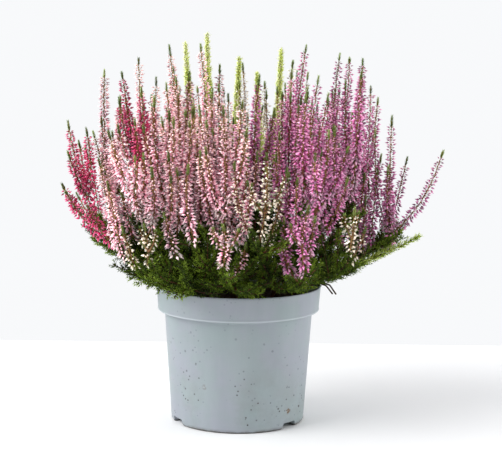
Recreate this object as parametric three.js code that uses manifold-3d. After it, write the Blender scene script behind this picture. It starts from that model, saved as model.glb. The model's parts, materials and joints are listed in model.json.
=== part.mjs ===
// Potted heather: a bud-flowering heather in a round nursery pot.
// Millimetres, +Z up. The origin is the centre of the face that the pot stands on; the front faces -Y.

import * as THREE from 'three';
import { mergeVertices } from 'three/addons/utils/BufferGeometryUtils.js';
import Module from 'manifold-3d';

const wasm = await Module();
wasm.setup();

// ---------------------------------------------------------------- driving dimensions

// Pot
const POT_HEIGHT = 107;
const RIM_RADIUS = 65;
const RIM_BAND_HEIGHT = 19;
const NECK_RADIUS = 58.4;          // outside of the wall just under the rim band
const FOOT_RADIUS = 52.5;
const WALL = 1.8;
const FLOOR_UNDERSIDE = 5;
const FLOOR_TOP = 7;
const FOOT_RING_WIDTH = 4;
const BOSS_RADIUS = 14;            // flat boss in the middle of the floor, level with the foot ring
const POT_SIDES = 32;
const NOTCH_ANGLES = [-62, 50.5, 174];
const NOTCH_HEIGHT = 4.8;
const NOTCH_WIDTH_TOP = 13;
const NOTCH_WIDTH_FOOT = 17;
const DRAIN_HOLES = 6;
const DRAIN_HOLE_RADIUS = 3.5;
const DRAIN_CIRCLE_RADIUS = 36;

// Soil
const FIT_GAP = 0.3;
const SOIL_TOP = 98;
const SOIL_SIDES = 24;
const SOIL_LUMP = 1.3;
const STEM_DEPTH = 22;             // how far a stem goes down into its hole
const COLLAR_HEIGHT = 3;           // a stem stands straight up to here above the soil

// Stems, twigs and spikes
const STEM_RADIUS = 2.3;
const TWIG_CORE = 1.2;
const TWIG_REACH = 4.2;            // tips of the short leafy side shoots from the axis of a twig
const LIME_REACH = 4.2;
const SPIKE_CORE = 2.2;
const SPIKE_REACH = 5.4;           // tips of the buds from the axis of a spike
const TIP_REACH = 2.4;
const STALK_RADIUS = 1.15;
const BUD_SHIFTS = [-3.4, -0.8];   // buds nod, and the two of a ring stand at different heights
const SHOOT_SHIFTS = [3, 5.5];     // side shoots point forward
const SPIKE_STEP = 11;             // from one ring of buds to the next
const TWIG_STEP = 15;
const LIME_STEP = 13;
const NODE_GAP = 0.35;
const CLEARANCE = 1;
const FORK_HEIGHT = 112;
const FORK_SHIFT = 8;
const RIM_CLEAR_HEIGHT = POT_HEIGHT + 1.5;
const UNDERSIDE_SLOPE = 0.1;
const FLARE_START = 24;            // outside the neck by this much the underside turns upward
const FLARE_SLOPE = 0.55;
const SETTLE_ROUNDS = 200;
const SEED = 20611;

const COLOURS = {
  crimson: 0xb83a5e,
  pink: 0xe3aec0,
  cream: 0xeee0dc,
  purple: 0xa75a9c,
};

// The planting plan. Each leafy stem stands in its own hole and carries three flower heads.
// A head's tip is where its leading spike ends, after running length at the angle lean from the
// vertical with its middle hanging outward by sag; spikes is the number of side spikes, which
// stand spread away from the leading one.
// A stem's twigs have no flowers; reachOut, where given, is the tip of one more, a long young one.
const SIDE_TURNS = [0, 180, 90];   // to either side of the leading spike, then on its inner side
const SPLAY = { lean: 36, length: 52, spikes: 1, spread: 9, sag: 3 };
const REACH = { lean: 31, length: 76, spikes: 0, spread: 0, sag: 7 };
const SINGLE = { lean: 13, length: 60, spikes: 0, spread: 0, sag: 2 };
const EDGE = { lean: 16, length: 72, spikes: 3, spread: 15, sag: 1 };
const SKIRT = { lean: 7, length: 32, spikes: 2, spread: 9, sag: 0 };
const APRON = { lean: 5, length: 52, spikes: 3, spread: 11, sag: 0 };
const SHOULDER = { lean: 8, length: 94, spikes: 3, spread: 15, sag: 0 };
const CROWN = { lean: 4, length: 106, spikes: 3, spread: 15, sag: 0 };

const STEMS = [
  { root: [-2, -42], twigs: 6, heads: [
    { kind: SINGLE, colour: 'pink', tip: [-35, -112, 210] },
    { kind: SKIRT, colour: 'pink', tip: [-11, -103, 167] },
    { kind: SHOULDER, colour: 'pink', tip: [-12, -74, 250] }] },
  { root: [25, -35], twigs: 6, heads: [
    { kind: EDGE, colour: 'cream', tip: [20, -106, 218] },
    { kind: APRON, colour: 'purple', tip: [50, -94, 180] },
    { kind: SHOULDER, colour: 'purple', tip: [58, -50, 272] }] },
  { root: [41, -12], twigs: 6, heads: [
    { kind: EDGE, colour: 'purple', tip: [64, -92, 234] },
    { kind: SKIRT, colour: 'cream', tip: [84, -86, 178] },
    { kind: CROWN, colour: 'purple', tip: [92, -30, 285] }] },
  { root: [42, 13], twigs: 5, reachOut: [139, -28, 151], heads: [
    { kind: REACH, colour: 'purple', tip: [158, -4, 215] },
    { kind: SINGLE, colour: 'purple', tip: [135, 34, 207] },
    { kind: CROWN, colour: 'purple', tip: [118, 4, 241] }] },
  { root: [27, 34], twigs: 4, heads: [
    { kind: CROWN, colour: 'purple', tip: [104, 48, 263] },
    { kind: SKIRT, colour: 'purple', tip: [74, 104, 184] },
    { kind: CROWN, colour: 'purple', tip: [88, 46, 286] }] },
  { root: [1, 43], twigs: 5, heads: [
    { kind: EDGE, colour: 'cream', tip: [22, 130, 216] },
    { kind: SKIRT, colour: 'pink', tip: [-18, 120, 176] },
    { kind: SHOULDER, colour: 'cream', tip: [16, 94, 266] }] },
  { root: [-26, 35], twigs: 4, heads: [
    { kind: EDGE, colour: 'pink', tip: [-84, 104, 214] },
    { kind: SKIRT, colour: 'crimson', tip: [-56, 112, 174] },
    { kind: SHOULDER, colour: 'pink', tip: [-60, 84, 264] }] },
  { root: [-42, 13], twigs: 5, heads: [
    { kind: EDGE, colour: 'crimson', tip: [-137, 18, 234] },
    { kind: SINGLE, colour: 'crimson', tip: [-128, 52, 212] },
    { kind: SHOULDER, colour: 'crimson', tip: [-92, -6, 273] }] },
  { root: [-42, -12], twigs: 5, heads: [
    { kind: SPLAY, colour: 'crimson', tip: [-136, -26, 188] },
    { kind: SPLAY, colour: 'crimson', tip: [-122, -48, 183] },
    { kind: EDGE, colour: 'pink', tip: [-112, -26, 228] }] },
  { root: [-26, -35], twigs: 6, reachOut: [-47, -56, 109], heads: [
    { kind: EDGE, colour: 'pink', tip: [-88, -80, 236] },
    { kind: SKIRT, colour: 'cream', tip: [-66, -102, 160] },
    { kind: SHOULDER, colour: 'pink', tip: [-63, -54, 256] }] },
  { root: [-17, 4], twigs: 3, heads: [
    { kind: CROWN, colour: 'pink', tip: [-109, 28, 274] },
    { kind: CROWN, colour: 'pink', tip: [-84, 60, 284] },
    { kind: CROWN, colour: 'pink', tip: [-56, 8, 294] }] },
  { root: [-5, -16], twigs: 3, heads: [
    { kind: CROWN, colour: 'pink', tip: [-49, -40, 270] },
    { kind: CROWN, colour: 'pink', tip: [-31, -12, 295] },
    { kind: CROWN, colour: 'pink', tip: [-16, -48, 265] }] },
  { root: [5, 17], twigs: 3, heads: [
    { kind: CROWN, colour: 'cream', tip: [-42, 40, 274] },
    { kind: CROWN, colour: 'cream', tip: [1, 30, 281] },
    { kind: CROWN, colour: 'cream', tip: [42, 58, 283] }] },
  { root: [17, -4], twigs: 3, heads: [
    { kind: CROWN, colour: 'purple', tip: [14, -28, 272] },
    { kind: CROWN, colour: 'purple', tip: [51, 10, 295] },
    { kind: CROWN, colour: 'purple', tip: [76, -4, 289] }] },
];

// Yellow-green leafy shoots without flowers, each group from one root.
const LIME_SPRAYS = [
  { root: [-14, 29], tips: [[-47, 76, 297], [-29, 52, 304], [-2, 84, 286]] },
  { root: [16, 29], tips: [[33, 82, 293], [15, 94, 272]] },
];

// ---------------------------------------------------------------- small helpers

// Park-Miller numbers between 0 and 1: the same draws every time.
function seededRandom(seed) {
  let state = seed;
  return () => {
    state = (state * 16807) % 2147483647;
    return state / 2147483647;
  };
}

const vec = (x, y, z) => new THREE.Vector3(x, y, z);
const degrees = (angle) => (angle * Math.PI) / 180;

function solidFrom(geometry) {
  const bare = geometry.clone();
  bare.deleteAttribute('normal');
  bare.deleteAttribute('uv');
  const merged = mergeVertices(bare, 1e-4);
  return new wasm.Manifold(new wasm.Mesh({
    numProp: 3,
    vertProperties: new Float32Array(merged.attributes.position.array),
    triVerts: new Uint32Array(merged.index.array),
  }));
}

function geometryFrom(solid) {
  const mesh = solid.getMesh();
  const geometry = new THREE.BufferGeometry();
  geometry.setAttribute('position', new THREE.BufferAttribute(mesh.vertProperties, 3));
  geometry.setIndex(new THREE.BufferAttribute(mesh.triVerts, 1));
  return geometry;
}

function makeMesh(name, solid, colour, roughness) {
  const material = new THREE.MeshStandardMaterial({ color: colour, roughness, metalness: 0 });
  const mesh = new THREE.Mesh(geometryFrom(solid), material);
  mesh.name = name;
  return mesh;
}

// A lathe turned about Z instead of Y.
function turned(profile, sides) {
  const points = profile.map(([radius, height]) => new THREE.Vector2(radius, height));
  const geometry = new THREE.LatheGeometry(points, sides);
  geometry.rotateX(Math.PI / 2);
  return solidFrom(geometry);
}

// ---------------------------------------------------------------- growing the axes

// Every shoot is an axis: points half a ring's step apart, the radius kept free round each of them,
// and the first point held on the axis that it grows from.
function makeAxis(points, reaches, node, shoot, parent, parentIndex) {
  return {
    points,
    rest: points.map((point) => point.clone()),
    reaches,
    node,
    shoot,
    parent,
    parentIndex,
    held: points.map(() => false),
  };
}

function bezier(start, control, end, steps) {
  const curve = new THREE.QuadraticBezierCurve3(start, control, end);
  return curve.getPoints(steps);
}

// An even number of steps, because a ring of buds or scales stands on every other axis point.
function stepsFor(length, ringStep) {
  return 2 * Math.max(2, Math.round(length / ringStep));
}

// The leafy part of a shoot is bare at the fork and bushy further out; a twig tapers to its end.
const scaleReachAt = (t) => TWIG_REACH * Math.min(1, 0.4 + 1.8 * t);
const twigReachAt = (t) => TWIG_REACH * (1 - 0.45 * t);

// A woody stem: straight up out of its hole, then out to the fork and a short stub past it.
function growStem(root, node) {
  const outward = vec(root[0], root[1], 0).normalize();
  const foot = vec(root[0], root[1], SOIL_TOP - STEM_DEPTH);
  const collar = vec(root[0], root[1], SOIL_TOP + COLLAR_HEIGHT);
  const fork = vec(root[0], root[1], FORK_HEIGHT).addScaledVector(outward, FORK_SHIFT);
  const stub = fork.clone().lerp(collar, -0.2);
  const points = [foot, collar, fork, stub];
  const axis = makeAxis(points, points.map(() => STEM_RADIUS), node, null, null, 0);
  axis.held = [true, true, false, false];
  axis.forkIndex = 2;
  return axis;
}

// The shoot that carries a head: a leafy part from the fork to the foot of the flowers, and the
// leading spike from there to the tip.
function growShoot(stem, head, node, headNode, shoot, random) {
  const tip = vec(...head.tip);
  const outward = vec(tip.x, tip.y, 0).normalize();
  const lean = degrees(head.kind.lean);
  const direction = vec(outward.x * Math.sin(lean), outward.y * Math.sin(lean), Math.cos(lean));
  const spikeLength = head.kind.length * (0.94 + 0.12 * random());
  const foot = tip.clone().addScaledVector(direction, -spikeLength);
  const fork = stem.points[stem.forkIndex];
  const control = foot.clone().addScaledVector(direction, -0.25 * fork.distanceTo(foot));
  const leafySteps = stepsFor(fork.distanceTo(foot) * 1.05, TWIG_STEP);
  const points = bezier(fork, control, foot, leafySteps);
  const spikeSteps = stepsFor(spikeLength, SPIKE_STEP);
  const bow = vec(random() - 0.5, random() - 0.5, 0).multiplyScalar(7);
  bow.addScaledVector(outward, head.kind.sag * Math.cos(lean));
  bow.z -= head.kind.sag * Math.sin(lean);
  for (let i = 1; i <= spikeSteps; i += 1) {
    const t = i / spikeSteps;
    const point = foot.clone().lerp(tip, t);
    point.addScaledVector(bow, Math.sin(Math.PI * t));
    points.push(point);
  }
  const reaches = points.map((point, i) => (i < leafySteps ? scaleReachAt(i / leafySteps) : SPIKE_REACH));
  reaches[points.length - 1] = TIP_REACH;
  const axis = makeAxis(points, reaches, node, shoot, stem, stem.forkIndex);
  axis.footIndex = leafySteps;
  axis.headNode = headNode;
  axis.direction = direction;
  axis.spikeLength = spikeLength;
  axis.outward = outward;
  return axis;
}

// A side spike: it leaves the leading one low down and soon runs beside it.
function growSideSpike(main, head, number, random) {
  const low = random() < 0.6 || head.kind === SKIRT;
  const startIndex = main.footIndex + (low ? 2 : 4);
  const start = main.points[startIndex];
  const tangential = vec(-main.outward.y, main.outward.x, 0);
  const turn = degrees(SIDE_TURNS[number] + (random() - 0.5) * 50);
  const across = main.direction.clone().cross(tangential);
  const side = tangential.multiplyScalar(Math.cos(turn)).addScaledVector(across, Math.sin(turn));
  const rise = main.spikeLength * (0.62 + 0.3 * random());
  const height = Math.max(18, rise - start.distanceTo(main.points[main.footIndex]));
  const spread = head.kind.spread * (0.85 + 0.3 * random());
  const control = start.clone().addScaledVector(side, spread * 0.8);
  control.addScaledVector(main.direction, height * 0.38);
  const end = start.clone().addScaledVector(side, spread).addScaledVector(main.direction, height);
  const points = bezier(start, control, end, stepsFor(Math.hypot(height, spread), SPIKE_STEP));
  const reaches = points.map((point, i) => (i < 3 ? STALK_RADIUS : SPIKE_REACH));
  reaches[points.length - 1] = TIP_REACH;
  return makeAxis(points, reaches, main.headNode, main.shoot, main, startIndex);
}

// A green twig without flowers, out from the leafy part of a shoot and then up.
function growTwig(main, number, random) {
  const share = 0.1 + 0.65 * random();
  const startIndex = 2 * Math.max(1, Math.round(main.footIndex * share * 0.5));
  const start = main.points[startIndex];
  const turn = (number % 2 === 0 ? 1 : -1) * degrees(20 + 50 * random());
  const heading = Math.atan2(main.outward.y, main.outward.x) + turn;
  const rise = degrees(60 * random());
  const length = 24 + 14 * random();
  const flat = vec(Math.cos(heading), Math.sin(heading), 0);
  const end = start.clone().addScaledVector(flat, length * Math.cos(rise));
  end.z += length * Math.sin(rise);
  const control = start.clone().lerp(end, 0.5);
  control.z -= length * 0.12;
  const points = bezier(start, control, end, stepsFor(length, TWIG_STEP));
  const reaches = points.map((point, i) => twigReachAt(i / (points.length - 1)));
  return makeAxis(points, reaches, main.node, main.shoot, main, startIndex);
}

// A long young twig from the fork to a given place outside the others.
function growLongTwig(stem, tipPlace, node) {
  const fork = stem.points[stem.forkIndex];
  const tip = vec(...tipPlace);
  const control = fork.clone().lerp(tip, 0.5);
  control.z -= 10;
  const points = bezier(fork, control, tip, stepsFor(fork.distanceTo(tip), TWIG_STEP));
  const reaches = points.map((point, i) => twigReachAt(i / (points.length - 1)));
  return makeAxis(points, reaches, node, null, stem, stem.forkIndex);
}

function growLimeShoot(stem, tipPlace, node, shoot) {
  const tip = vec(...tipPlace);
  const fork = stem.points[stem.forkIndex];
  const control = vec(
    THREE.MathUtils.lerp(fork.x, tip.x, 0.8),
    THREE.MathUtils.lerp(fork.y, tip.y, 0.8),
    THREE.MathUtils.lerp(fork.z, tip.z, 0.5),
  );
  const points = bezier(fork, control, tip, stepsFor(fork.distanceTo(tip), LIME_STEP));
  const reaches = points.map((point, i) => LIME_REACH * Math.min(1, 0.3 + i / 6));
  const axis = makeAxis(points, reaches, node, shoot, stem, stem.forkIndex);
  axis.footIndex = points.length - 1;
  return axis;
}

function growPlant() {
  const random = seededRandom(SEED);
  const axes = [];
  const nodes = [];
  let shoot = 0;
  const headCount = {};
  STEMS.forEach((plan, stemNumber) => {
    const node = `leafy_stem_${String(stemNumber + 1).padStart(2, '0')}`;
    nodes.push({ name: node, kind: 'leafy' });
    const stem = growStem(plan.root, node);
    axes.push(stem);
    const shoots = plan.heads.map((head) => {
      shoot += 1;
      headCount[head.colour] = (headCount[head.colour] || 0) + 1;
      const headNode = `${head.colour}_head_${String(headCount[head.colour]).padStart(2, '0')}`;
      nodes.push({ name: headNode, kind: 'head', colour: head.colour });
      const main = growShoot(stem, head, node, headNode, shoot, random);
      axes.push(main);
      for (let number = 0; number < head.kind.spikes; number += 1) {
        axes.push(growSideSpike(main, head, number, random));
      }
      return main;
    });
    for (let number = 0; number < plan.twigs; number += 1) {
      axes.push(growTwig(shoots[number % shoots.length], number, random));
    }
    if (plan.reachOut) axes.push(growLongTwig(stem, plan.reachOut, node));
  });
  LIME_SPRAYS.forEach((plan, sprayNumber) => {
    const node = `lime_spray_${sprayNumber + 1}`;
    nodes.push({ name: node, kind: 'lime' });
    const stem = growStem(plan.root, node);
    axes.push(stem);
    plan.tips.forEach((tip) => {
      shoot += 1;
      axes.push(growLimeShoot(stem, tip, node, shoot));
    });
  });
  return { axes, nodes };
}

// ---------------------------------------------------------------- bending clear

// The node that a point of an axis belongs to: a shoot turns from leafy twig into flower head.
function nodeAt(axis, index) {
  return axis.headNode && index >= axis.footIndex ? axis.headNode : axis.node;
}

function listBeads(axes) {
  const beads = [];
  axes.forEach((axis, axisNumber) => {
    axis.points.forEach((point, index) => {
      beads.push({
        axis,
        axisNumber,
        index,
        point,
        rest: axis.rest[index],
        reach: axis.reaches[index],
        node: nodeAt(axis, index),
        shoot: axis.shoot,
        push: vec(0, 0, 0),
        pushes: 0,
      });
    });
  });
  return beads;
}

// Pairs of points near enough to matter, with the distance that they have to keep. Two points of
// one node or one shoot only keep the distance that they grew with, because they share a fork.
function listPairs(beads) {
  const pairs = [];
  for (let i = 0; i < beads.length; i += 1) {
    for (let j = i + 1; j < beads.length; j += 1) {
      const a = beads[i];
      const b = beads[j];
      if (a.axisNumber === b.axisNumber) continue;
      let need = a.reach + b.reach + CLEARANCE;
      if (a.point.distanceToSquared(b.point) > (need + 5) ** 2) continue;
      const related = a.node === b.node || (a.shoot !== null && a.shoot === b.shoot);
      if (related) need = Math.min(need, a.rest.distanceTo(b.rest));
      pairs.push([a, b, need]);
    }
  }
  return pairs;
}

// Pushes crossing axes apart, a little at a time, while each axis passes its shift on to its
// neighbours so that it stays a smooth curve.
function bendClear(axes) {
  const beads = listBeads(axes);
  let pairs = [];
  for (let round = 0; round < SETTLE_ROUNDS; round += 1) {
    if (round % 10 === 0) pairs = listPairs(beads);
    for (const [a, b, need] of pairs) {
      const gap = b.point.clone().sub(a.point);
      const distance = gap.length();
      if (distance < need) {
        gap.multiplyScalar((0.5 * (need - distance)) / Math.max(distance, 0.01));
        a.push.sub(gap);
        b.push.add(gap);
        a.pushes += 1;
        b.pushes += 1;
      }
    }
    for (const bead of beads) {
      if (bead.pushes > 0) bead.point.addScaledVector(bead.push, 1.4 / (0.4 + bead.pushes));
      bead.push.set(0, 0, 0);
      bead.pushes = 0;
    }
    for (const axis of axes) {
      smoothShift(axis);
      keepAboveRim(axis);
    }
  }
}

function smoothShift(axis) {
  const shifts = axis.points.map((point, i) => point.clone().sub(axis.rest[i]));
  if (axis.parent) {
    const joint = axis.parent.points[axis.parentIndex];
    shifts[0].copy(joint).sub(axis.rest[0]);
  }
  const last = shifts.length - 1;
  axis.points.forEach((point, i) => {
    if (axis.held[i]) {
      point.copy(axis.rest[i]);
      return;
    }
    if (i === 0) {
      point.copy(axis.rest[0]).add(shifts[0]);
      return;
    }
    const ahead = shifts[Math.min(last, i + 1)];
    const mean = shifts[i - 1].clone().add(ahead).multiplyScalar(0.5);
    point.copy(axis.rest[i]).addScaledVector(shifts[i], 0.5).addScaledVector(mean, 0.5);
  });
}

// Nothing may sink into the rim or the soil, and what hangs out over the rim rises outward.
function lowestHeightAt(point) {
  const overhang = Math.hypot(point.x, point.y) - NECK_RADIUS;
  if (overhang <= -4) return SOIL_TOP + 4;
  const flare = Math.max(0, overhang - FLARE_START);
  return RIM_CLEAR_HEIGHT + UNDERSIDE_SLOPE * Math.max(0, overhang) + FLARE_SLOPE * flare;
}

function keepAboveRim(axis) {
  axis.points.forEach((point, i) => {
    if (!axis.parent || i === 0) return;
    point.z = Math.max(point.z, lowestHeightAt(point) + axis.reaches[i] * 0.6);
  });
}

// ---------------------------------------------------------------- clothing the axes

// A closed tube of four-sided rings. On each ring two corners reach out and two lie in, and the
// next ring swaps them, so that every outer corner is the tip of one bud or leaf scale standing in
// four ranks. A ring is { centre, tangent, reach, core, shifts }: its two outer corners stand off
// along the tangent by the two shifts. The tube ends in the point apex, or flat where that is null.
function cladTube(rings, apex) {
  const positions = [];
  const faces = [];
  let across = vec(0.6, 0.8, 0.1);
  rings.forEach(({ centre, tangent, reach, core, shifts }, ring) => {
    across = across.clone().addScaledVector(tangent, -across.dot(tangent)).normalize();
    const third = tangent.clone().cross(across);
    for (let corner = 0; corner < 4; corner += 1) {
      const outer = (ring + corner) % 2 === 0;
      const radius = outer ? reach : core;
      const angle = (corner * Math.PI) / 2;
      const point = centre.clone();
      point.addScaledVector(across, radius * Math.cos(angle));
      point.addScaledVector(third, radius * Math.sin(angle));
      if (outer) point.addScaledVector(tangent, shifts[corner < 2 ? 0 : 1]);
      positions.push(point.x, point.y, point.z);
    }
    if (ring > 0) addRingFaces(faces, ring);
  });
  faces.push(0, 2, 1, 0, 3, 2);
  const last = (rings.length - 1) * 4;
  if (apex) {
    positions.push(apex.x, apex.y, apex.z);
    for (let corner = 0; corner < 4; corner += 1) {
      faces.push(last + corner, last + ((corner + 1) % 4), last + 4);
    }
  } else {
    faces.push(last, last + 1, last + 2, last, last + 2, last + 3);
  }
  const geometry = new THREE.BufferGeometry();
  geometry.setAttribute('position', new THREE.Float32BufferAttribute(positions, 3));
  geometry.setIndex(faces);
  return solidFrom(geometry);
}

// The quads between two rings are split from inner corner to inner corner.
function addRingFaces(faces, ring) {
  const below = (ring - 1) * 4;
  const above = ring * 4;
  for (let corner = 0; corner < 4; corner += 1) {
    const next = (corner + 1) % 4;
    const outerBelow = (ring - 1 + corner) % 2 === 0;
    if (outerBelow) {
      faces.push(below + corner, below + next, above + corner);
      faces.push(below + next, above + next, above + corner);
    } else {
      faces.push(below + corner, below + next, above + next);
      faces.push(below + corner, above + next, above + corner);
    }
  }
}

const taper = (t, full, end) => full + (end - full) * THREE.MathUtils.smoothstep(t, 0.6, 1);

function tangentAt(points, index) {
  const before = points[Math.max(0, index - 1)];
  const after = points[Math.min(points.length - 1, index + 1)];
  return after.clone().sub(before).normalize();
}

const plainRing = (centre, tangent, radius) => (
  { centre, tangent, reach: radius, core: radius, shifts: [0, 0] }
);

// A ring on every other point of an axis between two of its indices. radiiAt gives the reach and
// the core at 0 to 1 along them; the first ring is a plain root of the radius rootRadius.
function ringsAlong(points, from, to, radiiAt, rootRadius, shifts) {
  const rings = [plainRing(points[from].clone(), tangentAt(points, from), rootRadius)];
  for (let index = from + 2; index <= to; index += 2) {
    const [reach, core] = radiiAt((index - from) / (to - from));
    const tangent = tangentAt(points, index);
    rings.push({ centre: points[index].clone(), tangent, reach, core, shifts });
  }
  return rings;
}

// A flower spike with its buds, from an axis point to the end of the axis.
function spikeTube(points, from) {
  const last = points.length - 1;
  const radiiAt = (t) => [taper(t, SPIKE_REACH, SPIKE_REACH * 0.6), taper(t, SPIKE_CORE, 1)];
  return cladTube(ringsAlong(points, from, last - 2, radiiAt, STALK_RADIUS, BUD_SHIFTS), points[last]);
}

// A side spike starts as a bare stalk on the leading one.
function sideSpikeTube(points) {
  const last = points.length - 1;
  const radiiAt = (t) => [taper(t, SPIKE_REACH, SPIKE_REACH * 0.6), taper(t, SPIKE_CORE, 1)];
  const rings = ringsAlong(points, 2, last - 2, radiiAt, STALK_RADIUS, BUD_SHIFTS);
  rings.unshift(plainRing(points[0].clone(), tangentAt(points, 0), STALK_RADIUS));
  return cladTube(rings, points[last]);
}

// A leafy twig that ends in a point at the end of its axis.
function twigTube(points, reaches) {
  const last = points.length - 1;
  const radiiAt = (t) => [reaches[Math.round(t * (last - 2))], TWIG_CORE];
  const rings = ringsAlong(points, 0, last - 2, radiiAt, TWIG_CORE, SHOOT_SHIFTS);
  return cladTube(rings, points[last]);
}

// The leafy part of a shoot: it ends flat, just short of the foot of the flowers.
function carrierTube(points, footIndex) {
  const radiiAt = (t) => [scaleReachAt(t), TWIG_CORE];
  const rings = ringsAlong(points, 0, footIndex, radiiAt, TWIG_CORE, SHOOT_SHIFTS);
  const { centre, tangent } = rings.pop();
  rings.push(plainRing(centre.addScaledVector(tangent, -NODE_GAP), tangent, STALK_RADIUS));
  return cladTube(rings, null);
}

// A bare stem is a plain tube with a ring at each point of its axis.
function stemTube(points) {
  const rings = points.map((centre, index) => {
    const tangent = index === 1 ? vec(0, 0, 1) : tangentAt(points, index);
    return plainRing(centre, tangent, STEM_RADIUS);
  });
  return cladTube(rings, null);
}

// The solid of each node of the plant, by its name.
function clothe(axes) {
  const solids = {};
  const add = (node, solid) => {
    solids[node] = solids[node] ? solids[node].add(solid) : solid;
  };
  for (const axis of axes) {
    if (!axis.parent) {
      add(axis.node, stemTube(axis.points));
    } else if (axis.headNode) {
      add(axis.node, carrierTube(axis.points, axis.footIndex));
      add(axis.headNode, spikeTube(axis.points, axis.footIndex));
    } else if (axis.reaches[0] === STALK_RADIUS) {
      add(axis.node, sideSpikeTube(axis.points));
    } else {
      add(axis.node, twigTube(axis.points, axis.reaches));
    }
  }
  return solids;
}

// ---------------------------------------------------------------- pot and soil

function wallRadiusAt(height) {
  const top = POT_HEIGHT - RIM_BAND_HEIGHT;
  return FOOT_RADIUS + (NECK_RADIUS - FOOT_RADIUS) * (height / top);
}

function makePot() {
  const bandFoot = POT_HEIGHT - RIM_BAND_HEIGHT;
  const ringInner = FOOT_RADIUS - 1 - FOOT_RING_WIDTH;
  const profile = [
    [0, 0],
    [BOSS_RADIUS, 0],
    [BOSS_RADIUS + 1, FLOOR_UNDERSIDE],
    [ringInner - 1, FLOOR_UNDERSIDE],
    [ringInner, 0],
    [FOOT_RADIUS - 1, 0],
    [wallRadiusAt(1.4), 1.4],
    [wallRadiusAt(bandFoot - 1), bandFoot - 1],
    [RIM_RADIUS - 1.4, bandFoot],
    [RIM_RADIUS, POT_HEIGHT - 0.8],
    [RIM_RADIUS - 0.7, POT_HEIGHT],
    [RIM_RADIUS - WALL, POT_HEIGHT - 0.6],
    [RIM_RADIUS - 0.9 - WALL, bandFoot + 2],
    [NECK_RADIUS - WALL, bandFoot],
    [wallRadiusAt(FLOOR_TOP) - WALL, FLOOR_TOP],
    [0, FLOOR_TOP],
  ];
  let pot = turned(profile, POT_SIDES);
  for (const angle of NOTCH_ANGLES) {
    pot = pot.subtract(notchCutter(angle));
  }
  for (let hole = 0; hole < DRAIN_HOLES; hole += 1) {
    const angle = ((hole + 0.5) / DRAIN_HOLES) * 2 * Math.PI;
    const drill = new THREE.CylinderGeometry(DRAIN_HOLE_RADIUS, DRAIN_HOLE_RADIUS, 6, 6);
    drill.rotateX(Math.PI / 2);
    drill.translate(DRAIN_CIRCLE_RADIUS * Math.cos(angle), DRAIN_CIRCLE_RADIUS * Math.sin(angle), 6);
    pot = pot.subtract(solidFrom(drill));
  }
  return pot;
}

// A tapered block that opens the foot of the wall; angle is from the front toward +X.
function notchCutter(angle) {
  const outline = new THREE.Shape();
  outline.moveTo(-NOTCH_WIDTH_FOOT / 2 - 0.5, -1);
  outline.lineTo(NOTCH_WIDTH_FOOT / 2 + 0.5, -1);
  outline.lineTo(NOTCH_WIDTH_TOP / 2, NOTCH_HEIGHT);
  outline.lineTo(-NOTCH_WIDTH_TOP / 2, NOTCH_HEIGHT);
  const block = new THREE.ExtrudeGeometry(outline, { depth: 14, bevelEnabled: false, steps: 1 });
  block.rotateX(Math.PI / 2);
  block.translate(0, -FOOT_RADIUS + 10, 0);
  block.rotateZ(degrees(angle));
  return solidFrom(block);
}

const soilHeightAt = (x, y) => (
  SOIL_TOP - 1.5 * (Math.hypot(x, y) / NECK_RADIUS) ** 4
  + SOIL_LUMP * Math.sin(x * 0.31 + y * 0.12) * Math.cos(y * 0.27 - x * 0.08)
);

function makeSoil(axes) {
  const side = (height) => wallRadiusAt(height) - WALL - FIT_GAP - 0.4;
  const bandFoot = POT_HEIGHT - RIM_BAND_HEIGHT;
  const profile = [
    [0, FLOOR_TOP + FIT_GAP],
    [side(FLOOR_TOP), FLOOR_TOP + FIT_GAP],
    [side(bandFoot), bandFoot + 0.4],
    [RIM_RADIUS - WALL - 2.2, bandFoot + 3.2],
    [RIM_RADIUS - WALL - 2, SOIL_TOP - 1],
    [42, SOIL_TOP],
    [20, SOIL_TOP],
    [0, SOIL_TOP],
  ];
  const points = profile.map(([radius, height]) => new THREE.Vector2(radius, height));
  const geometry = new THREE.LatheGeometry(points, SOIL_SIDES);
  geometry.rotateX(Math.PI / 2);
  const position = geometry.attributes.position;
  for (let i = 0; i < position.count; i += 1) {
    if (position.getZ(i) > SOIL_TOP - 2) {
      position.setZ(i, soilHeightAt(position.getX(i), position.getY(i)));
    }
  }
  let soil = solidFrom(geometry);
  for (const axis of axes) {
    if (axis.parent) continue;
    const root = axis.points[0];
    const depth = STEM_DEPTH + 8;
    const drill = new THREE.CylinderGeometry(STEM_RADIUS + 0.9, STEM_RADIUS + 0.9, depth, 5);
    drill.rotateX(Math.PI / 2);
    drill.translate(root.x, root.y, root.z - NODE_GAP + depth / 2);
    soil = soil.subtract(solidFrom(drill));
  }
  return soil;
}

// ---------------------------------------------------------------- the whole plant

const potted = new THREE.Group();
potted.name = 'potted_heather';

const { axes, nodes } = growPlant();
bendClear(axes);
const solids = clothe(axes);

potted.add(makeMesh('pot', makePot(), 0x9aa3ab, 0.6));
potted.add(makeMesh('soil', makeSoil(axes), 0x33241b, 0.95));
for (const node of nodes) {
  if (node.kind === 'head') {
    potted.add(makeMesh(node.name, solids[node.name], COLOURS[node.colour], 0.7));
  } else {
    const colour = node.kind === 'lime' ? 0xb4c84a : 0x3f6030;
    potted.add(makeMesh(node.name, solids[node.name], colour, 0.75));
  }
}

export default potted;
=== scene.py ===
# Potted heather: fine pieces, materials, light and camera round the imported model.
# The plant is grown in millimetres by the same rule as its solids, so that every fine piece lies
# along the solid that it stands for. Meshes are made in metres. +Z is up and the front faces -Y.

import json
import math
from collections import namedtuple

import bmesh
import bpy
import numpy as np
from mathutils import Matrix, Vector

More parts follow.
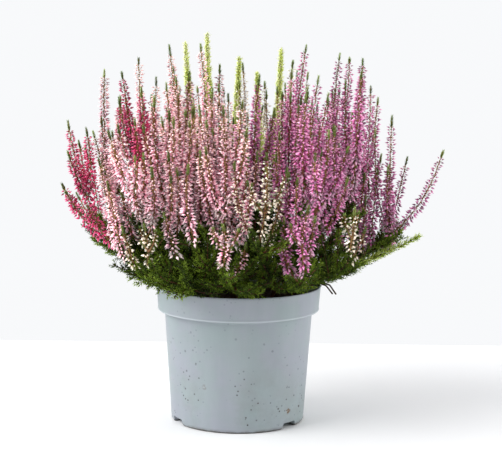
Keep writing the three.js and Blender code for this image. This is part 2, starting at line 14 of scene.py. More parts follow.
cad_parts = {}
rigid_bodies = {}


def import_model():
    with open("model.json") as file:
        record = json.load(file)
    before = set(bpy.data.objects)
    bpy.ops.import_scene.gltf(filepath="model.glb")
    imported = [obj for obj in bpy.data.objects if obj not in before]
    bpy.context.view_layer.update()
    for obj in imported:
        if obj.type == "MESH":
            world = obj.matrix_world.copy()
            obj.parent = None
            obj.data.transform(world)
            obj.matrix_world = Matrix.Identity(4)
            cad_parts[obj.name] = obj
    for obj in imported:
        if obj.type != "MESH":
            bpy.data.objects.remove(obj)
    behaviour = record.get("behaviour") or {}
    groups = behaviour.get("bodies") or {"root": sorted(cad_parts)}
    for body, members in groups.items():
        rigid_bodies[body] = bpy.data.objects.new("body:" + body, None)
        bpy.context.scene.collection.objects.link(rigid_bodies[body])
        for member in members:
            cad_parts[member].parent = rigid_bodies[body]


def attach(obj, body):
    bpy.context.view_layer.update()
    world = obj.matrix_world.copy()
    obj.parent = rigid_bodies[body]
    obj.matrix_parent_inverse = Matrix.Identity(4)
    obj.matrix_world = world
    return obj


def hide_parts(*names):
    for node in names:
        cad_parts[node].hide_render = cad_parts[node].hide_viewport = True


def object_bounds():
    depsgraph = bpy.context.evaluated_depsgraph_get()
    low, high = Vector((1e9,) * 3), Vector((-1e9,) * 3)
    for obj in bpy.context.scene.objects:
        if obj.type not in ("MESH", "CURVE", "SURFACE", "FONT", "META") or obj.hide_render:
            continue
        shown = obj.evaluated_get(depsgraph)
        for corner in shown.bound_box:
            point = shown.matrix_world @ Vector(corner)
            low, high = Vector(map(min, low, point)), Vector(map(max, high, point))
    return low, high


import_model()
cad_low, cad_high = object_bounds()

MM = 0.001
ROOT_BODY = "root"

# ---------------------------------------------------------------- dimensions, in mm

# Pot
POT_HEIGHT = 107
RIM_RADIUS = 65
RIM_BAND_HEIGHT = 19
BAND_FOOT = POT_HEIGHT - RIM_BAND_HEIGHT
NECK_RADIUS = 58.4                 # outside of the wall just under the rim band
FOOT_RADIUS = 52.5
WALL = 1.8
FLOOR_UNDERSIDE = 5
FLOOR_TOP = 7
FOOT_RING_WIDTH = 4
BOSS_RADIUS = 14                   # flat boss in the middle of the floor
POT_SIDES = 144
SHARP_EDGE = 32                    # degrees; below this angle an edge is shaded smooth
NOTCH_ANGLES = [-62, 50.5, 174]
NOTCH_HEIGHT = 4.8
NOTCH_WIDTH_TOP = 13
NOTCH_WIDTH_FOOT = 17
DRAIN_HOLES = 6
DRAIN_HOLE_RADIUS = 3.5
DRAIN_CIRCLE_RADIUS = 36

# Soil
FIT_GAP = 0.3
SOIL_TOP = 98
SOIL_LUMP = 1.3
SOIL_SIDES = 128
CRUMBS = 1100
STEM_DEPTH = 22                    # how far a stem goes down into its hole
COLLAR_HEIGHT = 3                  # a stem stands straight up to here above the soil

# Stems, twigs and spikes: the radius kept free round each, and the steps between their points
STEM_RADIUS = 2.3
TWIG_REACH = 4.2
LIME_REACH = 4.2
SPIKE_REACH = 5.4
TIP_REACH = 2.4
STALK_RADIUS = 1.15
SPIKE_STEP = 11
TWIG_STEP = 15
LIME_STEP = 13
FORK_HEIGHT = 112
FORK_SHIFT = 8

# Bending clear
CLEARANCE = 1
RIM_CLEAR_HEIGHT = POT_HEIGHT + 1.5
RIM_APPROACH = 4                   # inside the neck by less than this it has to clear the rim
SOIL_CLEAR = 4
UNDERSIDE_SLOPE = 0.1
FLARE_START = 24                   # outside the neck by this much the underside turns upward
FLARE_SLOPE = 0.55
KEPT_REACH = 0.6                   # the share of its reach that a point keeps above the underside
PUSH_GAIN = 1.4                    # a point is pushed by this over its pushes and the damping
PUSH_DAMPING = 0.4
SETTLE_ROUNDS = 200
PAIR_ROUNDS = 10                   # rounds between two searches for points that are near
PAIR_MARGIN = 5
BOX_MARGIN = 3                     # fine shoots end this far inside the box of the solids
SEED = 20611

SIDE_TURNS = [0, 180, 90]          # to either side of the leading spike, then on its inner side

# A kind of head: the leading spike's lean in degrees and length, the number and spread of the side
# spikes, the sag, and how many lesser spikes fill it in.
Kind = namedtuple("Kind", "lean length spikes spread sag fill")
KINDS = {
    "splay": Kind(36, 52, 1, 9, 3, 0),
    "reach": Kind(31, 76, 0, 0, 7, 0),
    "single": Kind(13, 60, 0, 0, 2, 0),
    "edge": Kind(16, 72, 3, 15, 1, 4),
    "skirt": Kind(7, 32, 2, 9, 0, 2),
    "apron": Kind(5, 52, 3, 11, 0, 3),
    "shoulder": Kind(8, 94, 3, 15, 0, 5),
    "crown": Kind(4, 106, 3, 15, 0, 5),
}
# Heads with fewer lesser spikes than their kind has.
FILL_LIMIT = {"cream_head_01": 2, "cream_head_04": 2, "cream_head_05": 0, "crimson_head_02": 0,
              "cream_head_02": 1, "cream_head_03": 1, "pink_head_02": 1}

# Per stem: its root, its number of twigs, its three heads (kind, colour and tip), and the tip of a
# long twig or None.
STEMS = [
    ((-2, -42), 6, [("single", "pink", (-35, -112, 210)), ("skirt", "pink", (-11, -103, 167)),
                    ("shoulder", "pink", (-12, -74, 250))], None),
    ((25, -35), 6, [("edge", "cream", (20, -106, 218)), ("apron", "purple", (50, -94, 180)),
                    ("shoulder", "purple", (58, -50, 272))], None),
    ((41, -12), 6, [("edge", "purple", (64, -92, 234)), ("skirt", "cream", (84, -86, 178)),
                    ("crown", "purple", (92, -30, 285))], None),
    ((42, 13), 5, [("reach", "purple", (158, -4, 215)), ("single", "purple", (135, 34, 207)),
                   ("crown", "purple", (118, 4, 241))], (139, -28, 151)),
    ((27, 34), 4, [("crown", "purple", (104, 48, 263)), ("skirt", "purple", (74, 104, 184)),
                   ("crown", "purple", (88, 46, 286))], None),
    ((1, 43), 5, [("edge", "cream", (22, 130, 216)), ("skirt", "pink", (-18, 120, 176)),
                  ("shoulder", "cream", (16, 94, 266))], None),
    ((-26, 35), 4, [("edge", "pink", (-84, 104, 214)), ("skirt", "crimson", (-56, 112, 174)),
                    ("shoulder", "pink", (-60, 84, 264))], None),
    ((-42, 13), 5, [("edge", "crimson", (-137, 18, 234)), ("single", "crimson", (-128, 52, 212)),
                    ("shoulder", "crimson", (-92, -6, 273))], None),
    ((-42, -12), 5, [("splay", "crimson", (-136, -26, 188)), ("splay", "crimson", (-122, -48, 183)),
                     ("edge", "pink", (-112, -26, 228))], None),
    ((-26, -35), 6, [("edge", "pink", (-88, -80, 236)), ("skirt", "cream", (-66, -102, 160)),
                     ("shoulder", "pink", (-63, -54, 256))], (-47, -56, 109)),
    ((-17, 4), 3, [("crown", "pink", (-109, 28, 274)), ("crown", "pink", (-84, 60, 284)),
                   ("crown", "pink", (-56, 8, 294))], None),
    ((-5, -16), 3, [("crown", "pink", (-49, -40, 270)), ("crown", "pink", (-31, -12, 295)),
                    ("crown", "pink", (-16, -48, 265))], None),
    ((5, 17), 3, [("crown", "cream", (-42, 40, 274)), ("crown", "cream", (1, 30, 281)),
                  ("crown", "cream", (42, 58, 283))], None),
    ((17, -4), 3, [("crown", "purple", (14, -28, 272)), ("crown", "purple", (51, 10, 295)),
                   ("crown", "purple", (76, -4, 289))], None),
]

LIME_SPRAYS = [
    ((-14, 29), [(-47, 76, 297), (-29, 52, 304), (-2, 84, 286)]),
    ((16, 29), [(33, 82, 293), (15, 94, 272)]),
]

# ---------------------------------------------------------------- growing the axes


RANDOM_FACTOR = 16807
RANDOM_MODULUS = 2147483647


def seeded_random(seed):
    """Park-Miller numbers between 0 and 1, the same draws as the solids'."""
    state = seed

    def draw():
        nonlocal state
        state = state * RANDOM_FACTOR % RANDOM_MODULUS
        return state / RANDOM_MODULUS

    return draw


def vec(*numbers):
    return np.array(numbers, float)


def unit(v):
    return v / np.linalg.norm(v)


def unit_rows(rows):
    return rows / np.linalg.norm(rows, axis=1)[:, None]


def between(first, second, angle):
    """The directions reached by turning from the first ones toward the second by these angles."""
    return first * np.cos(angle)[:, None] + second * np.sin(angle)[:, None]


def half_up(x):
    return math.floor(x + 0.5)


class Axis:
    """A shoot: its points, the radius kept free round each, and the axis that it grows from."""

    head_node = foot_index = outward = direction = None
    spike_length = fill_spikes = 0

    def __init__(self, points, reaches, node, shoot, parent, parent_index, role):
        self.points = np.array(points, float)
        self.reaches = np.array(reaches, float)
        self.node = node
        self.shoot = shoot
        self.parent = parent
        self.parent_index = parent_index
        self.role = role


def curve_at(t, start, control, end):
    return (1 - t) ** 2 * start + 2 * t * (1 - t) * control + t**2 * end


def bezier(start, control, end, steps):
    return curve_at(np.linspace(0, 1, steps + 1)[:, None], start, control, end)


def steps_for(length, ring_step):
    return 2 * max(2, half_up(length / ring_step))


def scale_reach_at(t):
    return TWIG_REACH * min(1, 0.4 + 1.8 * t)


def twig_reaches(count):
    return [TWIG_REACH * (1 - 0.45 * i / (count - 1)) for i in range(count)]


def grow_stem(root, node):
    outward = unit(vec(root[0], root[1], 0))
    foot = vec(root[0], root[1], SOIL_TOP - STEM_DEPTH)
    collar = vec(root[0], root[1], SOIL_TOP + COLLAR_HEIGHT)
    fork = vec(root[0], root[1], FORK_HEIGHT) + outward * FORK_SHIFT
    stub = fork + (collar - fork) * -0.2
    return Axis([foot, collar, fork, stub], [STEM_RADIUS] * 4, node, -1, None, 0, "stem")


def grow_shoot(stem, kind, tip, node, head_node, shoot, random):
    tip = vec(*tip)
    outward = unit(vec(tip[0], tip[1], 0))
    lean = math.radians(kind.lean)
    direction = outward * math.sin(lean) + vec(0, 0, math.cos(lean))
    spike_length = kind.length * (0.94 + 0.12 * random())
    foot = tip - direction * spike_length
    fork = stem.points[2]
    distance = np.linalg.norm(foot - fork)
    control = foot - direction * 0.25 * distance
    leafy_steps = steps_for(distance * 1.05, TWIG_STEP)
    leafy = bezier(fork, control, foot, leafy_steps)
    spike_steps = steps_for(spike_length, SPIKE_STEP)
    bow = vec(random() - 0.5, random() - 0.5, 0) * 7
    t = np.arange(1, spike_steps + 1)[:, None] / spike_steps
    sag = (outward * math.cos(lean) - vec(0, 0, math.sin(lean))) * kind.sag
    spike = foot + (tip - foot) * t + (bow + sag) * np.sin(math.pi * t)
    points = np.vstack([leafy, spike])
    reaches = [scale_reach_at(i / leafy_steps) if i < leafy_steps else SPIKE_REACH
               for i in range(len(points))]
    reaches[-1] = TIP_REACH
    axis = Axis(points, reaches, node, shoot, stem, 2, "main")
    axis.foot_index = leafy_steps
    axis.head_node = head_node
    axis.direction = direction
    axis.spike_length = spike_length
    axis.fill_spikes = kind.fill
    axis.outward = outward
    return axis


def grow_side_spike(main, kind_name, number, random):
    kind = KINDS[kind_name]
    low = random() < 0.6 or kind_name == "skirt"
    start_index = main.foot_index + (2 if low else 4)
    start = main.points[start_index]
    tangential = vec(-main.outward[1], main.outward[0], 0)
    turn = math.radians(SIDE_TURNS[number] + (random() - 0.5) * 50)
    across = np.cross(main.direction, tangential)
    side = tangential * math.cos(turn) + across * math.sin(turn)
    rise = main.spike_length * (0.62 + 0.3 * random())
    height = max(18, rise - np.linalg.norm(start - main.points[main.foot_index]))
    spread = kind.spread * (0.85 + 0.3 * random())
    control = start + side * spread * 0.8 + main.direction * height * 0.38
    end = start + side * spread + main.direction * height
    points = bezier(start, control, end, steps_for(math.hypot(height, spread), SPIKE_STEP))
    reaches = [STALK_RADIUS if i < 3 else SPIKE_REACH for i in range(len(points))]
    reaches[-1] = TIP_REACH
    return Axis(points, reaches, main.head_node, main.shoot, main, start_index, "side")


def grow_twig(main, number, random):
    share = 0.1 + 0.65 * random()
    start_index = 2 * max(1, half_up(main.foot_index * share * 0.5))
    start = main.points[start_index]
    turn = (1 if number % 2 == 0 else -1) * math.radians(20 + 50 * random())
    heading = math.atan2(main.outward[1], main.outward[0]) + turn
    rise = math.radians(60 * random())
    length = 24 + 14 * random()
    flat = vec(math.cos(heading), math.sin(heading), 0)
    end = start + flat * length * math.cos(rise) + vec(0, 0, length * math.sin(rise))
    control = (start + end) / 2 - vec(0, 0, length * 0.12)
    points = bezier(start, control, end, steps_for(length, TWIG_STEP))
    return Axis(points, twig_reaches(len(points)), main.node, main.shoot, main, start_index, "twig")


def grow_long_twig(stem, tip, node):
    fork = stem.points[2]
    tip = vec(*tip)
    control = (fork + tip) / 2 - vec(0, 0, 10)
    points = bezier(fork, control, tip, steps_for(np.linalg.norm(tip - fork), TWIG_STEP))
    return Axis(points, twig_reaches(len(points)), node, -1, stem, 2, "long_twig")


def grow_lime_shoot(stem, tip, node, shoot):
    tip = vec(*tip)
    fork = stem.points[2]
    control = fork + (tip - fork) * vec(0.8, 0.8, 0.5)
    points = bezier(fork, control, tip, steps_for(np.linalg.norm(tip - fork), LIME_STEP))
    reaches = [LIME_REACH * min(1, 0.3 + i / 6) for i in range(len(points))]
    return Axis(points, reaches, node, shoot, stem, 2, "lime")


def stem_name(number):
    return f"leafy_stem_{number:02d}"


def grow_plant():
    random = seeded_random(SEED)
    axes = []
    shoot = 0
    head_count = {}
    for stem_number, (root, twigs, heads, reach_out) in enumerate(STEMS):
        node = stem_name(stem_number + 1)
        stem = grow_stem(root, node)
        axes.append(stem)
        shoots = []
        for kind_name, colour, tip in heads:
            shoot += 1
            head_count[colour] = head_count.get(colour, 0) + 1
            head_node = f"{colour}_head_{head_count[colour]:02d}"
            kind = KINDS[kind_name]
            main = grow_shoot(stem, kind, tip, node, head_node, shoot, random)
            axes.append(main)
            for number in range(kind.spikes):
                axes.append(grow_side_spike(main, kind_name, number, random))
            shoots.append(main)
        for number in range(twigs):
            axes.append(grow_twig(shoots[number % 3], number, random))
        if reach_out:
            axes.append(grow_long_twig(stem, reach_out, node))
    for spray_number, (root, tips) in enumerate(LIME_SPRAYS):
        node = f"lime_spray_{spray_number + 1}"
        stem = grow_stem(root, node)
        axes.append(stem)
        for tip in tips:
            shoot += 1
            axes.append(grow_lime_shoot(stem, tip, node, shoot))
    return axes


# ---------------------------------------------------------------- bending clear


def lowest_height_at(points):
    """How low the foliage may hang: clear of the soil and the rim, then rising further out."""
    overhang = np.hypot(points[:, 0], points[:, 1]) - NECK_RADIUS
    over_rim = (RIM_CLEAR_HEIGHT + UNDERSIDE_SLOPE * np.maximum(0, overhang)
                + FLARE_SLOPE * np.maximum(0, overhang - FLARE_START))
    return np.where(overhang > -RIM_APPROACH, over_rim, SOIL_TOP + SOIL_CLEAR)


class Beads:
    """All the axis points in one array, with what each belongs to and its neighbours' places."""

    def __init__(self, axes):
        self.axes = axes
        self.start = np.cumsum([0] + [len(axis.points) for axis in axes])
        self.points = np.vstack([axis.points for axis in axes])
        self.rest = self.points.copy()
        self.reach = np.concatenate([axis.reaches for axis in axes])
        names = {}
        self.node = np.array([names.setdefault(self.node_of(axis, i), len(names))
                              for axis in axes for i in range(len(axis.points))])
        self.shoot = np.array([axis.shoot for axis in axes for _ in axis.points])
        self.axis = np.repeat(np.arange(len(axes)), np.diff(self.start))
        first = self.start[self.axis]
        last = self.start[self.axis + 1] - 1
        own = np.arange(len(self.points))
        self.before = np.maximum(first, own - 1)
        self.after = np.minimum(last, own + 1)
        self.levels = [self.level(axes, depth) for depth in range(3)]

    @staticmethod
    def node_of(axis, index):
        return axis.head_node if axis.head_node and index >= axis.foot_index else axis.node

    def level(self, axes, depth):
        """The beads of the axes this many joints away from a stem, and where they start."""
        def depth_of(axis):
            return 0 if axis.parent is None else 1 + depth_of(axis.parent)

        numbers = {id(axis): number for number, axis in enumerate(axes)}
        chosen = [number for number, axis in enumerate(axes) if depth_of(axis) == depth]
        beads = np.concatenate([np.arange(self.start[n], self.start[n + 1]) for n in chosen])
        first = self.start[chosen]
        joint = np.array([self.start[numbers[id(axes[n].parent)]] + axes[n].parent_index
                          if depth else self.start[n] for n in chosen])
        held = np.concatenate([first, first + 1]) if depth == 0 else np.array([], int)
        return beads, first, joint, held

    def pairs(self):
        """Pairs near enough to matter, with the distance that they have to keep."""
        firsts, seconds, needs = [], [], []
        for i in range(len(self.points) - 1):
            gap = self.points[i + 1:] - self.points[i]
            need = self.reach[i + 1:] + self.reach[i] + CLEARANCE
            near = (gap * gap).sum(1) <= (need + PAIR_MARGIN) ** 2
            near &= self.axis[i + 1:] != self.axis[i]
            j = np.nonzero(near)[0]
            firsts.append(np.full(len(j), i))
            seconds.append(j + i + 1)
            needs.append(need[j])
        a, b, need = map(np.concatenate, (firsts, seconds, needs))
        grown = np.linalg.norm(self.rest[a] - self.rest[b], axis=1)
        related = (self.node[a] == self.node[b]) | (
            (self.shoot[a] >= 0) & (self.shoot[a] == self.shoot[b]))
        return a, b, np.where(related, np.minimum(need, grown), need)

    def push_apart(self, a, b, need):
        gap = self.points[b] - self.points[a]
        distance = np.linalg.norm(gap, axis=1)
        close = distance < need
        a, b, gap = a[close], b[close], gap[close]
        shift = gap * (0.5 * (need[close] - distance[close])
                       / np.maximum(distance[close], 0.01))[:, None]
        push = np.zeros_like(self.points)
        count = len(self.points)
        for k in range(3):
            push[:, k] = np.bincount(b, shift[:, k], count) - np.bincount(a, shift[:, k], count)
        pushes = np.bincount(a, minlength=count) + np.bincount(b, minlength=count)
        gain = PUSH_GAIN / (PUSH_DAMPING + pushes)
        self.points += push * gain[:, None] * (pushes > 0)[:, None]

    def smooth_shift(self, depth):
        beads, first, joint, held = self.levels[depth]
        shift = self.points - self.rest
        if depth:
            shift[first] = self.points[joint] - self.rest[first]
        mean = 0.5 * (shift[self.before[beads]] + shift[self.after[beads]])
        self.points[beads] = self.rest[beads] + 0.5 * shift[beads] + 0.5 * mean
        if depth:
            self.points[first] = self.rest[first] + shift[first]
        self.points[held] = self.rest[held]

    def keep_above_rim(self, depth):
        beads, first, _, _ = self.levels[depth]
        beads = np.setdiff1d(beads, first)
        floor = lowest_height_at(self.points[beads]) + self.reach[beads] * KEPT_REACH
        self.points[beads, 2] = np.maximum(self.points[beads, 2], floor)

    def settle(self):
        for turn in range(SETTLE_ROUNDS):
            if turn % PAIR_ROUNDS == 0:
                pairs = self.pairs()
            self.push_apart(*pairs)
            for depth in range(3):
                self.smooth_shift(depth)
                if depth:
                    self.keep_above_rim(depth)
        for number, axis in enumerate(self.axes):
            axis.points = self.points[self.start[number]:self.start[number + 1]]


axes = grow_plant()
Beads(axes).settle()

# ---------------------------------------------------------------- smooth paths

rng = np.random.default_rng(SEED)
SUBSTEPS = 8


class Path:
    """A smooth curve through the points of an axis, with a frame that turns along with it."""

    def __init__(self, points):
        ends = np.vstack([2 * points[0] - points[1], points, 2 * points[-1] - points[-2]])
        p0, p1, p2, p3 = (ends[k:len(ends) - 3 + k, None, :] for k in range(4))
        t = (np.arange(SUBSTEPS) / SUBSTEPS)[None, :, None]
        curve = 0.5 * (2 * p1 + (p2 - p0) * t + (2 * p0 - 5 * p1 + 4 * p2 - p3) * t**2
                       + (3 * p1 - p0 - 3 * p2 + p3) * t**3)
        self.points = np.vstack([curve.reshape(-1, 3), points[-1:]])
        steps = np.linalg.norm(np.diff(self.points, axis=0), axis=1)
        self.arc = np.concatenate([[0], np.cumsum(steps)])
        self.length = self.arc[-1]
        self.tangents = unit_rows(np.gradient(self.points, axis=0))
        side = np.cross(self.tangents[0], vec(0.6, 0.8, 0.1))
        sides = []
        for tangent in self.tangents:
            side = unit(side - tangent * side.dot(tangent))
            sides.append(side)
        self.sides = np.array(sides)

    def arc_at(self, index):
        return self.arc[index * SUBSTEPS]

    def at(self, arc):
        """Point, tangent, side and third vector at each of these arc lengths."""
        arc = np.clip(arc, 0, self.length)

        def read(rows):
            return np.stack([np.interp(arc, self.arc, rows[:, k]) for k in range(3)], 1)

        tangent, side = unit_rows(read(self.tangents)), read(self.sides)
        side = unit_rows(side - tangent * (side * tangent).sum(1)[:, None])
        return read(self.points), tangent, side, np.cross(tangent, side)


# ---------------------------------------------------------------- collecting fine meshes


def add_object(name, data):
    piece = bpy.data.objects.new(name, data)
    bpy.context.scene.collection.objects.link(piece)
    return piece


class Clump:
    """Many small closed meshes gathered into one object, with three numbers at each vertex: tone,
    which is drawn for each small mesh, along, which runs from its root to its tip, and age, which
    runs from the foot to the top of a spike or shoot."""

    def __init__(self):
        self.vertices, self.triangles, self.slots = [], [], []
        self.tone, self.along, self.age = [], [], []
        self.count = 0

    def add(self, vertices, triangles, slot, tone, along, age):
        total = len(vertices)
        self.vertices.append(vertices)
        self.triangles.append(triangles + self.count)
        self.slots.append(np.full(len(triangles), slot))
        for store, value in ((self.tone, tone), (self.along, along), (self.age, age)):
            store.append(np.broadcast_to(np.asarray(value, float), (total,)))
        self.count += total

    def copies(self, template, origins, forward, side, length, width, slot, tone, age):
        """One copy of a template for each origin. The template's z runs along forward, 0 to 1."""
        shape, faces = template
        third = np.cross(forward, side)
        wide = np.broadcast_to(np.asarray(width, float), (len(origins),))[:, None, None]
        long = np.broadcast_to(np.asarray(length, float), (len(origins),))[:, None, None]
        places = (origins[:, None, :] + side[:, None, :] * shape[None, :, 0:1] * wide
                  + third[:, None, :] * shape[None, :, 1:2] * wide
                  + forward[:, None, :] * shape[None, :, 2:3] * long)
        count, corners = len(origins), len(shape)
        triangles = (faces[None] + (np.arange(count) * corners)[:, None, None]).reshape(-1, 3)
        self.add(places.reshape(-1, 3), triangles, slot,
                 np.repeat(np.broadcast_to(tone, (count,)), corners),
                 np.tile(shape[:, 2], count), np.repeat(np.broadcast_to(age, (count,)), corners))

    def tube(self, points, radii, sides, slot, tone, age, frames=None):
        """A closed tube through these points. frames are the side and third vectors of its rings,
        worked out from the points where they aren't given."""
        points = np.asarray(points, float)
        radii = np.broadcast_to(np.asarray(radii, float), (len(points),))
        if frames is None:
            tangents = unit_rows(np.gradient(points, axis=0))
            reference = vec(0.3, 0.5, 0.8) if abs(tangents[0][0]) > 0.8 else vec(1, 0.2, 0.1)
            across = unit_rows(np.cross(tangents, reference))
            third = np.cross(tangents, across)
        else:
            across, third = frames
        angle = np.arange(sides) * 2 * math.pi / sides
        ring = (across[:, None] * np.cos(angle)[None, :, None]
                + third[:, None] * np.sin(angle)[None, :, None]) * radii[:, None, None]
        rows = len(points)
        vertices = np.vstack([(points[:, None] + ring).reshape(-1, 3), points[:1], points[-1:]])
        low = (np.arange(rows - 1)[:, None] * sides + np.arange(sides)).ravel()
        turn = (np.arange(rows - 1)[:, None] * sides + (np.arange(sides) + 1) % sides).ravel()
        walls = np.vstack([np.stack([low, turn, turn + sides], 1),
                           np.stack([low, turn + sides, low + sides], 1)])
        k = np.arange(sides)
        after = (k + 1) % sides
        end = (rows - 1) * sides
        foot = np.stack([np.full(sides, rows * sides), after, k], 1)
        top = np.stack([np.full(sides, rows * sides + 1), end + k, end + after], 1)
        t = np.concatenate([np.repeat(np.linspace(0, 1, rows), sides), [0, 1]])
        self.add(vertices, np.vstack([walls, foot, top]), slot, tone, t, age)

    def stalk(self, path, arcs, radii, sides, slot, tone, age=0):
        """A closed tube along a path, with a ring at each of these arc lengths."""
        point, _, side, third = path.at(arcs)
        self.tube(point, radii, sides, slot, tone, age, (side, third))

    def make(self, name, materials):
        vertices = np.vstack(self.vertices) * MM
        triangles = np.vstack(self.triangles)
        mesh = bpy.data.meshes.new(name)
        mesh.vertices.add(len(vertices))
        mesh.vertices.foreach_set("co", vertices.astype(np.float32).ravel())
        mesh.loops.add(triangles.size)
        mesh.loops.foreach_set("vertex_index", triangles.astype(np.int32).ravel())
        mesh.polygons.add(len(triangles))
        mesh.polygons.foreach_set("loop_start", np.arange(0, triangles.size, 3, dtype=np.int32))
        mesh.polygons.foreach_set("material_index", np.concatenate(self.slots).astype(np.int32))
        mesh.polygons.foreach_set("use_smooth", np.ones(len(triangles), bool))
        for key, store in (("tone", self.tone), ("along", self.along), ("age", self.age)):
            layer = mesh.attributes.new(key, "FLOAT", "POINT")
            layer.data.foreach_set("value", np.concatenate(store).astype(np.float32))
        for material in materials:
            mesh.materials.append(material)
        mesh.update(calc_edges=True)
        mesh.validate()
        return add_object(name, mesh)


# A closed bud: its four sepals make it four-sided.
BUD = (np.array([(0, 0, 0), (0.5, 0, 0.42), (0, 0.5, 0.42), (-0.5, 0, 0.42), (0, -0.5, 0.42),
                 (0, 0, 1)]),
       np.array([(0, 2, 1), (0, 3, 2), (0, 4, 3), (0, 1, 4), (5, 1, 2), (5, 2, 3), (5, 3, 4),
                 (5, 4, 1)]))
# A scale leaf: keeled below, flat above, pointed.
LEAF = (np.array([(-0.5, 0.1, 0), (0.5, 0.1, 0), (0, -0.32, 0.06), (0, 0.12, 1)]),
        np.array([(0, 2, 1), (0, 1, 3), (1, 2, 3), (2, 0, 3)]))
# A thin stalk: a ring of three points at its root, one halfway, and its tip.
STALK_ALONG = [0, 0, 0, 0.5, 0.5, 0.5, 1]
STALK_FACES = np.array([(0, 2, 1), (3, 4, 6), (4, 5, 6), (5, 3, 6), (0, 1, 4), (0, 4, 3),
                        (1, 2, 5), (1, 5, 4), (2, 0, 3), (2, 3, 5)])

# The material slots of a head's piece, and those of a foliage piece.
BUD_SLOT, TIP_SLOT, STALK_SLOT, BRACT_SLOT = range(4)
LEAF_SLOT, CORE_SLOT, WOOD_SLOT, YOUNG_SLOT = range(4)

# ---------------------------------------------------------------- leaves and leafy shoots


def leafy_shoots(clump, roots, middles, tips, slots, tones, leaf_length, pitch, lift, core_radius):
    """Thin shoots with scale leaves in four ranks, along the curves from roots to tips. slots are
    those of the leaves and of their stalks."""
    pairs = np.maximum(2, np.round(np.linalg.norm(tips - roots, axis=1) / pitch)).astype(int)
    owner = np.repeat(np.arange(len(roots)), pairs)
    step = np.arange(len(owner)) - np.repeat(np.cumsum(pairs) - pairs, pairs)
    t = ((step + 0.6) / pairs[owner])[:, None]
    a, b, c = roots[owner], middles[owner], tips[owner]
    points = curve_at(t, a, b, c)
    tangents = unit_rows(2 * (1 - t) * (b - a) + 2 * t * (c - b))
    side = unit_rows(np.cross(tangents, rng.normal(size=(len(roots), 3))[owner]))
    third = np.cross(tangents, side)
    turn = step * math.pi / 2 + rng.normal(0, 0.25, len(owner))
    crowd = 1 - 0.35 * t[:, 0] ** 2
    for half in (0, math.pi):
        outward = between(side, third, turn + half)
        across = np.cross(outward, tangents)
        forward = between(tangents, outward, lift * crowd * rng.uniform(0.8, 1.2, len(owner)))
        size = leaf_length * crowd * rng.uniform(0.8, 1.2, len(owner))
        tone = tones[owner] + rng.normal(0, 0.07, len(owner))
        clump.copies(LEAF, points + outward * core_radius * 0.6, forward, across, size,
                     size * 0.4, slots[0], np.clip(tone, 0, 1), t[:, 0])
    add_cores(clump, roots, middles, tips, core_radius, slots[1], tones)


def add_cores(clump, roots, middles, tips, radius, slot, tones):
    """The thin stalks of leafy shoots: three-sided, in two lengths that narrow to a point."""
    middle = 0.25 * roots + 0.5 * middles + 0.25 * tips
    along = unit_rows(tips - roots)
    side = unit_rows(np.cross(along, vec(0.31, 0.22, 0.92)))
    third = np.cross(along, side)
    rings = []
    for centre, size in ((roots, 1.0), (middle, 0.75)):
        for k in range(3):
            angle = 2 * math.pi * k / 3
            outward = side * math.cos(angle) + third * math.sin(angle)
            rings.append(centre + outward * radius * size)
    vertices = np.stack(rings + [tips], 1)
    count, corners = len(roots), len(STALK_ALONG)
    triangles = STALK_FACES[None] + (np.arange(count) * corners)[:, None, None]
    clump.add(vertices.reshape(-1, 3), triangles.reshape(-1, 3), slot, np.repeat(tones, corners),
              np.tile(STALK_ALONG, count), 0.5)


def side_shoots(clump, path, start, end, reach, pitch, slots, tone, leaf_length=2.8,
                leaf_pitch=1.45):
    """Short leafy shoots in crossed pairs along part of a path. reach is a function of 0 to 1."""
    count = max(2, int((end - start) / pitch))
    share = (np.arange(count) + rng.uniform(0.2, 0.8, count)) / count
    point, tangent, side, third = path.at(start + share * (end - start))
    turn = np.arange(count) * math.pi / 2 + rng.normal(0, 0.35, count)
    roots, middles, tips, tones = [], [], [], []
    for half in (0, math.pi):
        outward = between(side, third, turn + half)
        radial = np.array([reach(s) for s in share])[:, None] * rng.uniform(0.75, 1.12, (count, 1))
        forward = radial * rng.uniform(1.0, 1.7, (count, 1))
        tip = point + outward * radial + tangent * forward
        tip[:, 2] += rng.uniform(0, 1.2, count)
        roots.append(point)
        middles.append(point + outward * radial * 0.62 + tangent * forward * 0.34)
        tips.append(tip)
        tones.append(np.clip(tone + rng.normal(0, 0.12, count), 0, 1))
    leafy_shoots(clump, *map(np.vstack, (roots, middles, tips)), slots, np.concatenate(tones),
                 leaf_length, leaf_pitch, lift=0.62, core_radius=0.3)


def add_club(clump, path, start, slots):
    """The green leafy end of a spike or twig."""
    point = path.at(np.array([start, (start + path.length) / 2, path.length]))[0]
    leafy_shoots(clump, point[:1], 2 * point[1:2] - 0.5 * (point[:1] + point[2:]), point[2:], slots,
                 vec(rng.uniform(0.25, 0.75)), leaf_length=2.6, pitch=0.6, lift=0.55,
                 core_radius=0.5)


# ---------------------------------------------------------------- flower spikes

BUDS_PER_ROW = {"cream": 2, "pink": 3, "crimson": 3, "purple": 3}
ROW_PITCH = {"cream": 1.8, "pink": 1.35, "crimson": 1.2, "purple": 1.35}
BUD_LENGTH = {"cream": 3.7, "pink": 4.7, "crimson": 4.3, "purple": 4.4}
STALK_THICKNESS = {"cream": 0.42, "pink": 0.52, "crimson": 0.52, "purple": 0.52}
# Above this share of a spike its rows thin out.
FULL_SHARE = {"cream": (0.55, 0.95), "pink": (0.55, 0.95), "crimson": (0.8, 0.98),
              "purple": (0.55, 0.95)}
BUD_WIDTH = 1.8
ROW_TURN = math.pi * 0.37
BRACTS_PER_ROW = 2


